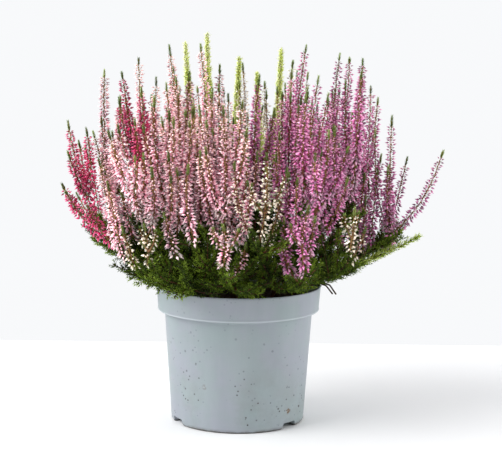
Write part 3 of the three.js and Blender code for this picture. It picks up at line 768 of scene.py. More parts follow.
def row_places(flowers, colour, looseness):
    """How far up the flowering part each row of buds stands."""
    pitch = ROW_PITCH[colour] * looseness * rng.uniform(0.88, 1.14)
    full = rng.uniform(*FULL_SHARE[colour])
    arc, rows = 0.0, []
    while arc < flowers:
        rows.append(arc)
        arc += pitch * (1 + 1.6 * max(0, arc / flowers - full)) * rng.uniform(0.85, 1.15)
    return np.array(rows)


def add_spike(clump, path, start, colour, looseness=1.0):
    """A flower spike from this arc length to the path's end: stalk, buds, bracts and green tip."""
    length = path.length - start
    club = min(rng.uniform(5, 9), length * 0.2)
    arcs = np.linspace(start, path.length - 1, max(3, int(length / 4)))
    spike_tone = rng.uniform(0.1, 0.9)
    thick = STALK_THICKNESS[colour]
    sides = 5
    clump.stalk(path, arcs, np.linspace(thick, thick * 0.55, len(arcs)), sides, STALK_SLOT,
                spike_tone, np.append(np.linspace(0, 1, len(arcs)).repeat(sides), (0, 1)))
    rows = row_places(length - club, colour, looseness)
    age = rows / (length - club)
    count = len(rows)
    point, tangent, side, third = path.at(start + rows)
    turn = np.arange(count) * ROW_TURN + rng.normal(0, 0.3, count)
    up = tangent * 0.6 + vec(0, 0, 0.4)
    for number in range(BUDS_PER_ROW[colour]):
        angle = turn + number * 2 * math.pi / BUDS_PER_ROW[colour]
        outward = between(side, third, angle + rng.normal(0, 0.35, count))
        # Low buds nod, those near the top stand out level.
        droop = np.radians(-38 + 44 * np.clip(age / 0.6, 0, 1) ** 1.2)
        forward = unit_rows(between(outward, up, droop + rng.normal(0, 0.24, count)))
        across = unit_rows(np.cross(forward, tangent))
        size = (1 - 0.3 * np.clip((age - 0.4) / 0.6, 0, 1)) * rng.uniform(0.82, 1.16, count)
        stalk = 0.6 + 0.8 * size * rng.uniform(0.6, 1.4, count)
        tone = np.clip(0.62 * spike_tone + 0.19 + rng.normal(0, 0.26, count), 0, 1)
        clump.copies(BUD, point + outward * stalk[:, None], forward, across,
                     BUD_LENGTH[colour] * size, BUD_WIDTH * size, BUD_SLOT, tone, age)
        if number < BRACTS_PER_ROW:
            clump.copies(LEAF, point + outward * 0.3, unit_rows(forward * 0.6 + tangent * 0.7),
                         across, 2.2 + 0.8 * age, 1.0, BRACT_SLOT, tone * 0.6 + 0.1, age)
    add_club(clump, path, path.length - club, (TIP_SLOT, STALK_SLOT))


# ---------------------------------------------------------------- materials


def srgb(red, green, blue):
    """A colour given in 0 to 255 as linear RGBA."""
    def linear(value):
        value /= 255
        return value / 12.92 if value <= 0.04045 else ((value + 0.055) / 1.055) ** 2.4

    return (linear(red), linear(green), linear(blue), 1)


class Shader:
    """A material under construction: short calls for the nodes used here."""

    def __init__(self, name):
        self.material = bpy.data.materials.new(name)
        self.material.use_nodes = True
        self.nodes = self.material.node_tree.nodes
        self.links = self.material.node_tree.links
        self.principled = self.nodes["Principled BSDF"]
        self.place = self.node("ShaderNodeTexCoord").outputs["Object"]

    def node(self, kind, settings=(), **inputs):
        """A new node with these settings, its inputs set or linked by name."""
        node = self.nodes.new(kind)
        for key, value in dict(settings).items():
            setattr(node, key, value)
        for key, value in inputs.items():
            self.feed(node.inputs[key.replace("_", " ")], value)
        return node

    def feed(self, socket, value):
        if isinstance(value, bpy.types.NodeSocket):
            self.links.new(value, socket)
        else:
            socket.default_value = value

    def attribute(self, name):
        return self.node("ShaderNodeAttribute", {"attribute_name": name}).outputs["Fac"]

    def coordinate(self, axis):
        return self.node("ShaderNodeSeparateXYZ", Vector=self.place).outputs[axis]

    def distance_to(self, point):
        node = self.node("ShaderNodeVectorMath", {"operation": "DISTANCE"})
        self.feed(node.inputs[0], self.place)
        self.feed(node.inputs[1], point)
        return node.outputs["Value"]

    def noise(self, scale, detail=3, roughness=0.55, stretch=None):
        place = self.place
        if stretch:
            place = self.node("ShaderNodeMapping", Scale=stretch, Vector=place).outputs["Vector"]
        return self.node("ShaderNodeTexNoise", Scale=scale, Detail=detail, Roughness=roughness,
                         Vector=place).outputs["Fac"]

    def cells(self, scale):
        return self.node("ShaderNodeTexVoronoi", Scale=scale, Vector=self.place).outputs["Distance"]

    def ramp(self, value, stops):
        """A colour ramp with a stop at each of these positions, its colour given as srgb."""
        node = self.node("ShaderNodeValToRGB", Fac=value)
        elements = node.color_ramp.elements
        while len(elements) < len(stops):
            elements.new(0.5)
        for element, (position, colour) in zip(elements, stops):
            element.position = position
            element.color = srgb(*colour)
        return node.outputs["Color"]

    def math(self, operation, a, b):
        node = self.node("ShaderNodeMath", {"operation": operation})
        self.feed(node.inputs[0], a)
        self.feed(node.inputs[1], b)
        return node.outputs[0]

    def times(self, a, b):
        return self.math("MULTIPLY", a, b)

    def plus(self, a, b):
        return self.math("ADD", a, b)

    def swing(self, value, gain):
        """How far a value lies from 0.5, times a gain."""
        return self.times(self.math("SUBTRACT", value, 0.5), gain)

    def span(self, value, low, high, to_low=0.0, to_high=1.0):
        return self.node("ShaderNodeMapRange", Value=value, From_Min=low, From_Max=high,
                         To_Min=to_low, To_Max=to_high).outputs["Result"]

    def mix(self, factor, below, colour):
        """A colour, given as srgb, laid over another by this factor."""
        node = self.node("ShaderNodeMix", {"data_type": "RGBA"})
        for number, value in ((0, factor), (6, below), (7, srgb(*colour))):
            self.feed(node.inputs[number], value)
        return node.outputs[2]

    def vary(self, colour, saturation, value):
        return self.node("ShaderNodeHueSaturation", Color=colour, Saturation=saturation,
                         Value=value).outputs["Color"]

    def bump(self, height, strength, distance):
        node = self.node("ShaderNodeBump", Strength=strength, Distance=distance, Height=height)
        self.feed(self.principled.inputs["Normal"], node.outputs["Normal"])

    def finish(self, colour, roughness, specular=0.35):
        self.feed(self.principled.inputs["Base Color"], colour)
        self.feed(self.principled.inputs["Roughness"], roughness)
        self.principled.inputs["Specular IOR Level"].default_value = specular
        return self.material


def petal_material(name, old, full, young, root, tip):
    """Buds: their colour runs from old at the foot of a spike over full to young near its top, and
    on each bud from root to tip."""
    s = Shader(name)
    along = s.attribute("along")
    tone = s.attribute("tone")
    wander = s.plus(s.attribute("age"), s.swing(tone, 0.5))
    body = s.ramp(wander, [(0.0, old), (0.22, full), (0.68, full), (0.95, young)])
    # Partly the buds' own colour and partly painted light: each bud darkens toward its root, also
    # as painted shade between the buds, and whitens toward its tip, also as a painted highlight.
    body = s.mix(s.span(along, 0.0, 0.42, 0.9, 0.0), body, root)
    body = s.mix(s.span(along, 0.28, 0.78, 0.0, 0.84), body, tip)
    # Toward the right, from x 0.08 m outward, the buds are mixed more and more with a dull mauve.
    body = s.mix(s.span(s.coordinate("X"), 0.08, 0.13, 0.0, 0.42), body, (124, 84, 106))
    streak = s.noise(420, 3, 0.6, (1, 1, 0.3))
    body = s.vary(body, s.span(streak, 0.3, 0.7, 0.85, 1.15), s.span(tone, 0, 1, 0.4, 1.92))
    s.bump(streak, 0.35, 0.0004)
    s.principled.inputs["Sheen Weight"].default_value = 0.12
    return s.finish(body, s.span(streak, 0.3, 0.7, 0.45, 0.65))


def leaf_material(name, dark, mid, light, bright):
    """Leaves: dark and dull at the foot of a shoot, fresh at its tip, and varied by patches. The
    darker foot is partly painted shade inside the bush and the lighter tip partly a painted
    highlight.
    """
    s = Shader(name)
    # age lightens the leaves toward a shoot's tip: partly fresh growth, partly painted highlight at
    # the tip and painted shade at the foot.
    mixed = s.plus(s.plus(s.attribute("tone"), s.swing(s.attribute("age"), 0.34)),
                   s.swing(s.noise(28, 2), 0.8))
    body = s.ramp(mixed, [(0.0, dark), (0.4, mid), (0.75, light), (1.0, bright)])
    grain = s.noise(900, 3)
    body = s.vary(body, s.span(grain, 0.3, 0.7, 0.9, 1.1),
                  s.span(s.attribute("along"), 0, 1, 0.8, 1.2))
    s.bump(grain, 0.3, 0.0003)
    return s.finish(body, s.span(grain, 0.3, 0.7, 0.6, 0.8), 0.12)


def bark_material(name, dark, light):
    """Bark and stalks: a grain along the stem, crossed by faint rings."""
    s = Shader(name)
    grain = s.noise(300, 5, 0.65, (1, 1, 0.18))
    body = s.ramp(s.plus(grain, s.swing(s.attribute("tone"), 0.6)), [(0.25, dark), (0.8, light)])
    rings = s.noise(160, 2, 0.5, (0.4, 0.4, 3))
    body = s.vary(body, 1.0, s.span(rings, 0.3, 0.7, 0.8, 1.15))
    s.bump(grain, 0.6, 0.0005)
    return s.finish(body, s.span(grain, 0.3, 0.7, 0.6, 0.85), 0.25)


# Old, full and young buds, then the root and the tip of a bud.
PETALS = {
    "crimson": petal_material("crimson_buds", (216, 116, 144), (190, 32, 86), (168, 54, 82),
                              (108, 12, 46), (226, 100, 146)),
    "pink": petal_material("pink_buds", (250, 232, 226), (240, 160, 184), (232, 186, 176),
                           (130, 44, 72), (255, 230, 233)),
    "cream": petal_material("cream_buds", (246, 236, 206), (244, 220, 200), (214, 220, 192),
                            (160, 138, 84), (255, 248, 232)),
    "purple": petal_material("purple_buds", (236, 192, 206), (196, 70, 148), (176, 96, 122),
                             (84, 12, 50), (248, 186, 222)),
}
LEAVES = leaf_material("scale_leaves", (26, 33, 10), (62, 83, 18), (110, 134, 36),
                       (156, 182, 72))
TIP_LEAVES = leaf_material("tip_leaves", (70, 92, 48), (104, 130, 66), (150, 174, 92),
                           (190, 206, 130))
LIME_LEAVES = leaf_material("lime_leaves", (208, 228, 96), (232, 246, 132), (246, 253, 180),
                            (254, 255, 226))
YOUNG_LEAVES = leaf_material("young_leaves", (112, 142, 40), (168, 196, 66), (208, 226, 108),
                             (234, 244, 160))
BARK = bark_material("bark", (40, 24, 14), (104, 66, 38))
STALKS = bark_material("spike_stalks", (118, 78, 54), (186, 142, 98))
BRACTS = leaf_material("bracts", (86, 56, 22), (120, 96, 34), (158, 140, 58), (190, 178, 96))

# ---------------------------------------------------------------- filling in

# Lesser twigs: where along a shoot's leafy part they start, the spread of their headings, their
# rise in degrees and their length.
Twigs = namedtuple("Twigs", "start spread rise length")
FILL_TWIGS = {
    "low": Twigs((0, 0.4), 1.6, (-8, 35), (18, 38)),
    "out": Twigs((0.15, 0.95), 1.3, (5, 55), (15, 28)),
    "upright": Twigs((0.1, 0.7), 2.5, (58, 86), (20, 32)),
}
FILL_ORDER = ["low", "upright", "low", "upright", "low", "out"]
TRIES = 10


class Crowd:
    """The places already taken, to find the emptiest of a few curves tried."""

    def __init__(self, points):
        self.points = points

    def emptiest(self, curves):
        def clearance(curve):
            tested = curve[len(curve) // 2:]
            gaps = np.linalg.norm(self.points[None] - tested[:, None], axis=2)
            return gaps.min(1).mean()

        best = max(curves, key=clearance)
        self.points = np.vstack([self.points, best[len(best) // 3:]])
        return best


def kept_clear(curve):
    """A curve with every point above the rim and above the slope that the foliage keeps outside,
    and inside the box of the solids."""
    low_corner = np.array(cad_low)[:2] / MM + BOX_MARGIN
    high_corner = np.array(cad_high)[:2] / MM - BOX_MARGIN
    curve[:, :2] = np.clip(curve[:, :2], low_corner, high_corner)
    curve[:, 2] = np.maximum(curve[:, 2], lowest_height_at(curve) + 2)
    return curve


def fill_twig(path, end, outward, kind):
    """A leafy twig from somewhere on the leafy part of a shoot."""
    start = path.at([rng.uniform(*kind.start) * end])[0][0]
    heading = math.atan2(outward[1], outward[0]) + rng.normal(0, kind.spread)
    rise = math.radians(rng.uniform(*kind.rise))
    length = rng.uniform(*kind.length)
    flat = vec(math.cos(heading), math.sin(heading), 0)
    tip = start + flat * length * math.cos(rise) + vec(0, 0, length * math.sin(rise))
    control = (start + tip) / 2 - vec(0, 0, length * 0.14) + flat * length * 0.05
    return kept_clear(bezier(start, control, tip, 6))


def fill_spike(path, foot, outward, direction, spike_length):
    """A lesser spike from the upper leafy part of a shoot or the foot of its flowers."""
    start = path.at([foot * rng.uniform(0.55, 1.0)])[0][0]
    heading = rng.uniform(-0.15, 1.15) * math.pi
    tangential = vec(-outward[1], outward[0], 0)
    inward = np.cross(direction, tangential)
    side = tangential * math.cos(heading) + inward * math.sin(heading)
    spread = rng.uniform(9, 24)
    height = rng.uniform(0.45, 0.88) * spike_length + 6
    control = start + side * spread * 0.85 + direction * height * 0.34
    return kept_clear(bezier(start, control, start + side * spread + direction * height, 8))


# ---------------------------------------------------------------- dressing the plant

# Listed twigs: the stem's number, where they leave it, and each one's control point and tip.
# First those that lie on the rim or hang just over it, then those in the open middle behind the
# front stems.
RIM_TWIGS = [
    (9, (-50, -14, 112), [((-66, -20, 115), (-79, -20, 110)), ((-64, -26, 115), (-71, -31, 109)),
                          ((-70, -8, 116), (-86, -10, 112))]),
    (10, (-31, -41, 112), [((-50, -44, 117), (-62, -40, 108)), ((-42, -52, 118), (-48, -57, 105)),
                           ((-38, -54, 118), (-43, -61, 106)), ((-34, -54, 118), (-37, -63, 108)),
                           ((-46, -48, 118), (-54, -51, 107))]),
]
INNER_TWIGS = [
    (6, (1, 51, 112), [((6, 42, 128), (14, 36, 150)), ((12, 44, 120), (24, 40, 136)),
                       ((2, 40, 122), (4, 32, 142))]),
    (13, (7, 25, 112), [((12, 18, 122), (19, 12, 140)), ((8, 14, 120), (8, 4, 138)),
                        ((14, 24, 113), (25, 22, 118)), ((13, 16, 113), (20, 6, 121))]),
    (6, (1, 51, 112), [((10, 46, 112), (24, 40, 115))]),
    (14, (25, -6, 112), [((18, -4, 114), (6, 0, 120))]),
    (2, (29, -41, 112), [((22, -44, 117), (10, -42, 126))]),
    (14, (24, -6, 112), [((21, -14, 122), (16, -22, 138))]),
    (12, (-7, -23, 112), [((-2, -28, 122), (4, -34, 138))]),
]

# Two dark cut stems that stick out over the rim, both from this stem.
CUT_STEM = 3
CUT_ENDS = [
    [(48, -14, 112), (58, -17, 113), (68, -20, 110), (73, -23, 104)],
    [(48, -14, 112), (60, -14, 113), (71, -17, 110), (76, -19, 103)],
]

# Small spikes low at the sides: stem, head, where the shoot starts, foot of the flowers and tip.
LOW_SPIKES = [
    (4, "purple_head_07", (49, 15, 112), (104, 2, 147), (109, 8, 200)),
    (4, "purple_head_07", (49, 15, 112), (96, 22, 150), (100, 26, 194)),
    (9, "pink_head_07", (-50, -14, 112), (-94, -50, 153), (-106, -42, 209)),
    (10, "pink_head_08", (-31, -41, 112), (-87, -66, 145), (-98, -55, 192)),
    (10, "cream_head_05", (-31, -41, 112), (-78, -76, 138), (-86, -70, 161)),
    (10, "pink_head_08", (-31, -41, 112), (-47, -104, 154), (-53, -98, 174)),
]

paths = {id(axis): Path(axis.points) for axis in axes if axis.role != "stem"}
heads, greens = {}, {}


def clump_for(store, name):
    return store.setdefault(name, Clump())


def colour_of(head_name):
    return head_name.split("_")[0]


def add_wood(clump, axis):
    """A bare stem, from its foot in the soil to the fork."""
    path = Path(axis.points)
    rings = 9
    radii = np.linspace(STEM_RADIUS * 0.95, STEM_RADIUS * 0.6, rings)
    radii = radii * rng.uniform(0.93, 1.07, rings)
    clump.stalk(path, np.linspace(0, path.length, rings), radii, 8, WOOD_SLOT, 0.4)


def full_reach(t):
    return scale_reach_at(t) * 0.98


def closing_reach(t):
    return TWIG_REACH * (1 - 0.45 * t)


def small_reach(t):
    return 4.8 * (1 - 0.4 * t)


def lime_reach(t):
    return LIME_REACH * min(1, 0.35 + 3 * t) * (1 - 0.75 * t**3)


def stalk_reach(t):
    return 2.0


def add_green(clump, axis, tone, leaf_slot=LEAF_SLOT):
    """A leafy twig, or the leafy part of a flowering shoot."""
    path = paths[id(axis)]
    main = axis.role == "main"
    end = path.arc_at(axis.foot_index) if main else path.length
    thick = 0.95 if main else 0.7
    rings = max(4, int(end / 5))
    clump.stalk(path, np.linspace(0, end, rings), np.linspace(thick, thick * 0.5, rings), 5,
                WOOD_SLOT, rng.uniform(0.2, 0.8))
    bare, reach = (0.1, full_reach) if main else (0.08, closing_reach)
    side_shoots(clump, path, end * bare, end - 1, reach, 1.9, (leaf_slot, CORE_SLOT), tone)
    if not main:
        add_club(clump, path, end - 6, (leaf_slot, CORE_SLOT))


def add_small_twig(clump, path, tone_low=0.2, tone_high=0.7):
    clump.stalk(path, np.linspace(0, path.length, 5), np.linspace(0.65, 0.3, 5), 4, WOOD_SLOT,
                rng.uniform(0.2, 0.8))
    side_shoots(clump, path, 1.5, path.length - 1, small_reach, 2.6, (LEAF_SLOT, CORE_SLOT),
                rng.uniform(tone_low, tone_high), leaf_length=3.1, leaf_pitch=1.9)


def add_lime(clump, axis):
    """A lime shoot: dense bright leaves all the way, closing to a point."""
    path = paths[id(axis)]
    end = path.length
    rings = int(end / 5)
    clump.stalk(path, np.linspace(0, end, rings), np.linspace(0.9, 0.35, rings), 5, WOOD_SLOT, 0.9)
    side_shoots(clump, path, end * 0.12, end - 2, lime_reach, 1.15, (LEAF_SLOT, CORE_SLOT), 0.6,
                leaf_length=3.5)
    add_club(clump, path, end - 10, (LEAF_SLOT, CORE_SLOT))


def add_bare_foot(clump, path, end, radius):
    """The bare foot of a side spike, where it leaves its shoot."""
    clump.stalk(path, np.linspace(0, end, 4), radius, 5, STALK_SLOT, 0.5)


def add_axis(axis):
    """The fine form of one grown axis."""
    if axis.role == "stem":
        add_wood(clump_for(greens, axis.node), axis)
    elif axis.role == "main":
        add_green(clump_for(greens, axis.node), axis, rng.uniform(0.3, 0.6))
        path = paths[id(axis)]
        add_spike(clump_for(heads, axis.head_node), path, path.arc_at(axis.foot_index),
                  colour_of(axis.head_node), 1 if axis.fill_spikes else 1.2)
    elif axis.role == "side":
        path = paths[id(axis)]
        clump = clump_for(heads, axis.node)
        bare = path.arc_at(2)
        add_bare_foot(clump, path, bare, 0.62)
        side_shoots(clump, path, 1, bare, stalk_reach, 3.0, (TIP_SLOT, STALK_SLOT), 0.4)
        add_spike(clump, path, bare * 0.8, colour_of(axis.node))
    elif axis.role == "lime":
        add_lime(clump_for(greens, axis.node), axis)
    elif axis.role == "long_twig":
        add_green(clump_for(greens, axis.node), axis, 0.7, YOUNG_SLOT)
    else:
        add_green(clump_for(greens, axis.node), axis, rng.uniform(0.35, 0.75))


def fill_in():
    """Lesser spikes and twigs, each in the emptiest place of a few tried."""
    spike_crowd = Crowd(np.vstack([
        axis.points[axis.foot_index if axis.role == "main" else 2:] for axis in axes
        if axis.role in ("main", "side")]))
    twig_crowd = Crowd(np.vstack([
        axis.points[:axis.foot_index] if axis.role == "main" else axis.points for axis in axes
        if axis.role in ("main", "twig", "long_twig", "stem")]))
    mains = [axis for axis in axes if axis.role == "main"]
    for turn, twig_kind in enumerate(FILL_ORDER):
        for axis in mains:
            path = paths[id(axis)]
            foot = path.arc_at(axis.foot_index)
            if turn < FILL_LIMIT.get(axis.head_node, axis.fill_spikes):
                curves = [fill_spike(path, foot, axis.outward, axis.direction, axis.spike_length)
                          for _ in range(TRIES)]
                extra = Path(spike_crowd.emptiest(curves))
                bare = extra.length * 0.22
                add_bare_foot(heads[axis.head_node], extra, bare, 0.55)
                add_spike(heads[axis.head_node], extra, bare * 0.9, colour_of(axis.head_node))
            curves = [fill_twig(path, foot, axis.outward, FILL_TWIGS[twig_kind])
                      for _ in range(TRIES)]
            add_small_twig(greens[axis.node], Path(twig_crowd.emptiest(curves)))


def add_low_spike(stem_number, head_name, start, foot, tip):
    """A leafy shoot that ends in a small spike."""
    control = foot - unit(tip - foot) * 0.4 * np.linalg.norm(foot - start)
    leafy = bezier(start, control, foot, 6)
    add_small_twig(greens[stem_name(stem_number)], Path(leafy))
    rise = foot + (tip - foot) * np.linspace(0.25, 1, 4)[:, None]
    extra = Path(np.vstack([leafy[4:], rise]))
    add_spike(heads[head_name], extra, extra.arc_at(1), colour_of(head_name))


def dress(piece, node):
    """Let a finished piece ride on the part's one body and stand for a node of its solids."""
    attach(piece, ROOT_BODY)
    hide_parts(node)


def make_plant():
    for axis in axes:
        add_axis(axis)
    fill_in()
    for stem_number, head_name, *places in LOW_SPIKES:
        add_low_spike(stem_number, head_name, *(vec(*place) for place in places))
    for twigs, tones in ((RIM_TWIGS, (0.7, 0.9)), (INNER_TWIGS, (0.2, 0.7))):
        for stem_number, start, routes in twigs:
            for control, tip in routes:
                curve = bezier(vec(*start), vec(*control), vec(*tip), 6)
                add_small_twig(greens[stem_name(stem_number)], Path(curve), *tones)
    for places in CUT_ENDS:
        greens[stem_name(CUT_STEM)].tube(np.array(places, float), 0.62, 6, WOOD_SLOT, 0.15, 0)
    for name, clump in heads.items():
        colour = colour_of(name)
        dress(clump.make(name + "_buds", [PETALS[colour], TIP_LEAVES, STALKS, BRACTS]), name)
    for name, clump in greens.items():
        lime = name.startswith("lime")
        leaves = LIME_LEAVES if lime else LEAVES
        dress(clump.make(name + "_foliage", [leaves, leaves, BARK, YOUNG_LEAVES]), name)


make_plant()

# ---------------------------------------------------------------- pot

# Place in metres on the wall, and strength: a brown stain above the right front notch, and a
# fainter one on the left.
STAINS = [((0.0394, -0.0361, 0.0142), 1.0), ((-0.0253, -0.0487, 0.0355), 0.45)]


def object_from(name, shape):
    """An object whose mesh holds this bmesh, which is freed."""
    mesh = bpy.data.meshes.new(name)
    shape.to_mesh(mesh)
    shape.free()
    return add_object(name, mesh)


def wall_radius_at(height):
    return FOOT_RADIUS + (NECK_RADIUS - FOOT_RADIUS) * height / BAND_FOOT


def lathe_object(name, profile, sides):
    """A closed lathe about z, from a profile that starts and ends on the axis."""
    shape = bmesh.new()
    rings = []
    for radius, height in profile:
        if radius == 0:
            rings.append([shape.verts.new((0, 0, height * MM))])
            continue
        rings.append([shape.verts.new((radius * MM * math.sin(2 * math.pi * k / sides),
                                       -radius * MM * math.cos(2 * math.pi * k / sides),
                                       height * MM)) for k in range(sides)])
    for below, above in zip(rings, rings[1:]):
        for k in range(sides):
            n = (k + 1) % sides
            corners = [below[k % len(below)], below[n % len(below)],
                       above[n % len(above)], above[k % len(above)]]
            shape.faces.new(list(dict.fromkeys(corners)))
    bmesh.ops.recalc_face_normals(shape, faces=shape.faces)
    return object_from(name, shape)


def pot_profile():
    """From the middle of the underside out over the foot ring, up the wall and the rim band, and
    down inside to the middle of the floor."""
    ring_inner = FOOT_RADIUS - 1 - FOOT_RING_WIDTH
    outside = [(wall_radius_at(z), z) for z in np.linspace(2.2, BAND_FOOT - 3, 12)]
    neck = wall_radius_at(BAND_FOOT - 1)
    inner_foot = wall_radius_at(FLOOR_TOP) - WALL
    band = [(-2.6, -0.2), (-1.75, -0.05), (-1.35, 0.3), (-1.2, 0.9), (-1.42, 1.7), (-1.36, 2.6),
            (-0.9, 9)]
    lip = [(-0.3, -3), (-0.02, -1.3), (-0.08, -0.6), (-0.35, -0.16), (-0.8, 0), (-1.3, -0.1),
           (0.05 - WALL, -0.5), (-0.1 - WALL, -1.2)]
    return [
        (0, 0), (BOSS_RADIUS - 0.4, 0), (BOSS_RADIUS, 0.3),
        (BOSS_RADIUS + 0.9, FLOOR_UNDERSIDE - 0.3), (BOSS_RADIUS + 1.3, FLOOR_UNDERSIDE),
        (ring_inner - 1.3, FLOOR_UNDERSIDE), (ring_inner - 0.9, FLOOR_UNDERSIDE - 0.3),
        (ring_inner, 0.3), (ring_inner + 0.3, 0),
        (FOOT_RADIUS - 1.5, 0), (FOOT_RADIUS - 0.9, 0.12), (FOOT_RADIUS - 0.35, 0.5),
        (wall_radius_at(1.2), 1.2), *outside,
        (neck - 0.05, BAND_FOOT - 1.9), (neck + 0.25, BAND_FOOT - 1.2),
        (neck + 0.9, BAND_FOOT - 0.75),
        *((RIM_RADIUS + out, BAND_FOOT + up) for out, up in band),
        *((RIM_RADIUS + out, POT_HEIGHT + up) for out, up in lip),
        (RIM_RADIUS - WALL - 0.9, BAND_FOOT + 2.6), (RIM_RADIUS - WALL - 1.4, BAND_FOOT + 1.8),
        (NECK_RADIUS - WALL + 0.6, BAND_FOOT + 0.7), (NECK_RADIUS - WALL, BAND_FOOT),
        (inner_foot, FLOOR_TOP + 0.6), (inner_foot - 0.6, FLOOR_TOP), (0, FLOOR_TOP),
    ]


def add_notch_block(shape, angle):
    """The tapered block that opens a drainage notch, with a rounded top."""
    half = [(NOTCH_WIDTH_FOOT / 2 + 0.5, -1), (NOTCH_WIDTH_TOP / 2 + 0.5, NOTCH_HEIGHT - 0.7),
            (NOTCH_WIDTH_TOP / 2 - 0.4, NOTCH_HEIGHT)]
    outline = half + [(-x, z) for x, z in half[::-1]]
    front = [shape.verts.new((x, -FOOT_RADIUS - 4, z)) for x, z in outline]
    back = [shape.verts.new((x, -FOOT_RADIUS + 10, z)) for x, z in outline]
    faces = [shape.faces.new(front), shape.faces.new(back[::-1])]
    for k in range(len(outline)):
        n = (k + 1) % len(outline)
        faces.append(shape.faces.new([front[n], front[k], back[k], back[n]]))
    place = Matrix.Scale(MM, 4) @ Matrix.Rotation(math.radians(angle), 4, "Z")
    bmesh.ops.transform(shape, matrix=place, verts=front + back)
    bmesh.ops.recalc_face_normals(shape, faces=faces)


def cutter_object():
    """All notches and drain holes as one object for one Boolean cut."""
    shape = bmesh.new()
    for angle in NOTCH_ANGLES:
        add_notch_block(shape, angle)
    for hole in range(DRAIN_HOLES):
        angle = (hole + 0.5) / DRAIN_HOLES * 2 * math.pi
        place = Matrix.Translation((DRAIN_CIRCLE_RADIUS * MM * math.cos(angle),
                                    DRAIN_CIRCLE_RADIUS * MM * math.sin(angle), 6 * MM))
        bmesh.ops.create_cone(shape, cap_ends=True, segments=20, radius1=DRAIN_HOLE_RADIUS * MM,
                              radius2=DRAIN_HOLE_RADIUS * MM, depth=6 * MM, matrix=place)
    return object_from("cutter", shape)


def cut_away(piece, cutter):
    """Take one object out of another by a Boolean cut, and remove it."""
    cut = piece.modifiers.new("cut", "BOOLEAN")
    cut.operation = "DIFFERENCE"
    cut.object = cutter
    cut.solver = "EXACT"
    evaluated = piece.evaluated_get(bpy.context.evaluated_depsgraph_get())
    mesh = bpy.data.meshes.new_from_object(evaluated)
    piece.modifiers.clear()
    piece.data = mesh
    bpy.data.objects.remove(cutter)


def smooth_by_angle(piece, degrees):
    """Smooth shading with sharp edges where faces meet at more than this angle."""
    shape = bmesh.new()
    shape.from_mesh(piece.data)
    for face in shape.faces:
        face.smooth = True
    for edge in shape.edges:
        edge.smooth = len(edge.link_faces) == 2 and edge.calc_face_angle(0) < math.radians(degrees)
    shape.to_mesh(piece.data)
    shape.free()


def pot_material():
    """Matte grey-blue polypropylene with moulding marks, scuffs, peat dust and brown stains, a
    painted highlight along the rim band's lower edge and a painted contact shadow along the foot.
    """
    s = Shader("pot_plastic")
    height = s.coordinate("Z")
    cloud = s.noise(14, 4)
    base = s.ramp(cloud, [(0.3, (146, 155, 160)), (0.7, (158, 166, 172))])
    hue = s.noise(26, 3, 0.6)
    base = s.mix(s.span(hue, 0.4, 0.68, 0.0, 0.55), base, (146, 164, 163))
    base = s.mix(s.span(hue, 0.52, 0.32, 0.0, 0.5), base, (160, 161, 176))
    flow = s.noise(60, 4, 0.6, (1, 1, 0.12))
    base = s.mix(s.span(flow, 0.42, 0.7, 0.0, 0.16), base, (178, 186, 190))
    dusty = s.span(height, 0.085, 0.01)
    for scale, low, high, gate in ((240, 0.2, 0.11, 0.5), (105, 0.13, 0.07, 0.46)):
        patch = s.span(s.noise(38, 2), gate, gate + 0.08)
        fleck = s.times(s.span(s.cells(scale), low, high), patch)
        fleck = s.times(fleck, s.plus(s.times(dusty, 0.75), 0.2))
        base = s.mix(fleck, base, (44, 37, 35))
    smear = s.times(s.span(s.noise(22, 5, 0.7), 0.5, 0.75), dusty)
    base = s.mix(s.times(smear, 0.36), base, (122, 118, 108))
    for place, strength in STAINS:
        reach = s.plus(s.distance_to(place), s.times(s.noise(320, 4, 0.7), 0.006))
        base = s.mix(s.span(reach, 0.0046, 0.0034, 0.0, 0.4 * strength), base, (186, 186, 176))
        ring = s.times(s.span(reach, 0.0026, 0.0036), s.span(reach, 0.0056, 0.0044, 0.0, strength))
        base = s.mix(s.times(ring, s.span(s.noise(260, 2), 0.38, 0.5)), base, (108, 80, 52))
    # Painted highlight: a thin lighter line along the rim band's lower edge, where its bead catches
    # the light.
    band_foot = BAND_FOOT * MM
    edge = s.times(s.span(height, band_foot, band_foot + 0.0003),
                   s.span(height, band_foot + 0.0015, band_foot + 0.0009))
    base = s.mix(s.times(edge, 0.5), base, (206, 214, 219))
    grime = s.times(s.span(height, 0.003, 0.0008), s.span(s.noise(120, 4), 0.36, 0.6))
    base = s.mix(s.times(grime, 0.75), base, (92, 80, 66))
    # Painted shade: a dark band along the lowest 1.6 mm of the pot, for the contact shadow under
    # the foot.
    base = s.mix(s.span(height, 0.0016, 0.0005, 0.0, 0.8), base, (62, 56, 48))
    s.bump(s.plus(s.noise(700, 3), s.times(flow, 0.6)), 0.12, 0.0003)
    return s.finish(base, s.span(cloud, 0.3, 0.7, 0.42, 0.54), 0.45)


def make_pot():
    pot = lathe_object("pot_body", pot_profile(), POT_SIDES)
    cut_away(pot, cutter_object())
    smooth_by_angle(pot, SHARP_EDGE)
    pot.data.materials.append(pot_material())
    dress(pot, "pot")


make_pot()

# ---------------------------------------------------------------- soil


def soil_height_at(x, y):
    dome = SOIL_TOP - 1.5 * (math.hypot(x, y) / NECK_RADIUS) ** 4
    return dome + SOIL_LUMP * math.sin(x * 0.31 + y * 0.12) * math.cos(y * 0.27 - x * 0.08)


def rough_height_at(x, y):
    """The soil's surface with a fixed sum of waves for its finer lumps."""
    waves = 0.0
    for k in range(1, 7):
        scale = 0.21 * 1.55**k
        waves += math.sin(x * scale + 1.7 * k * k) * math.cos(y * scale * 1.13 + 2.3 * k) / 1.5**k
    return soil_height_at(x, y) + 0.55 * waves


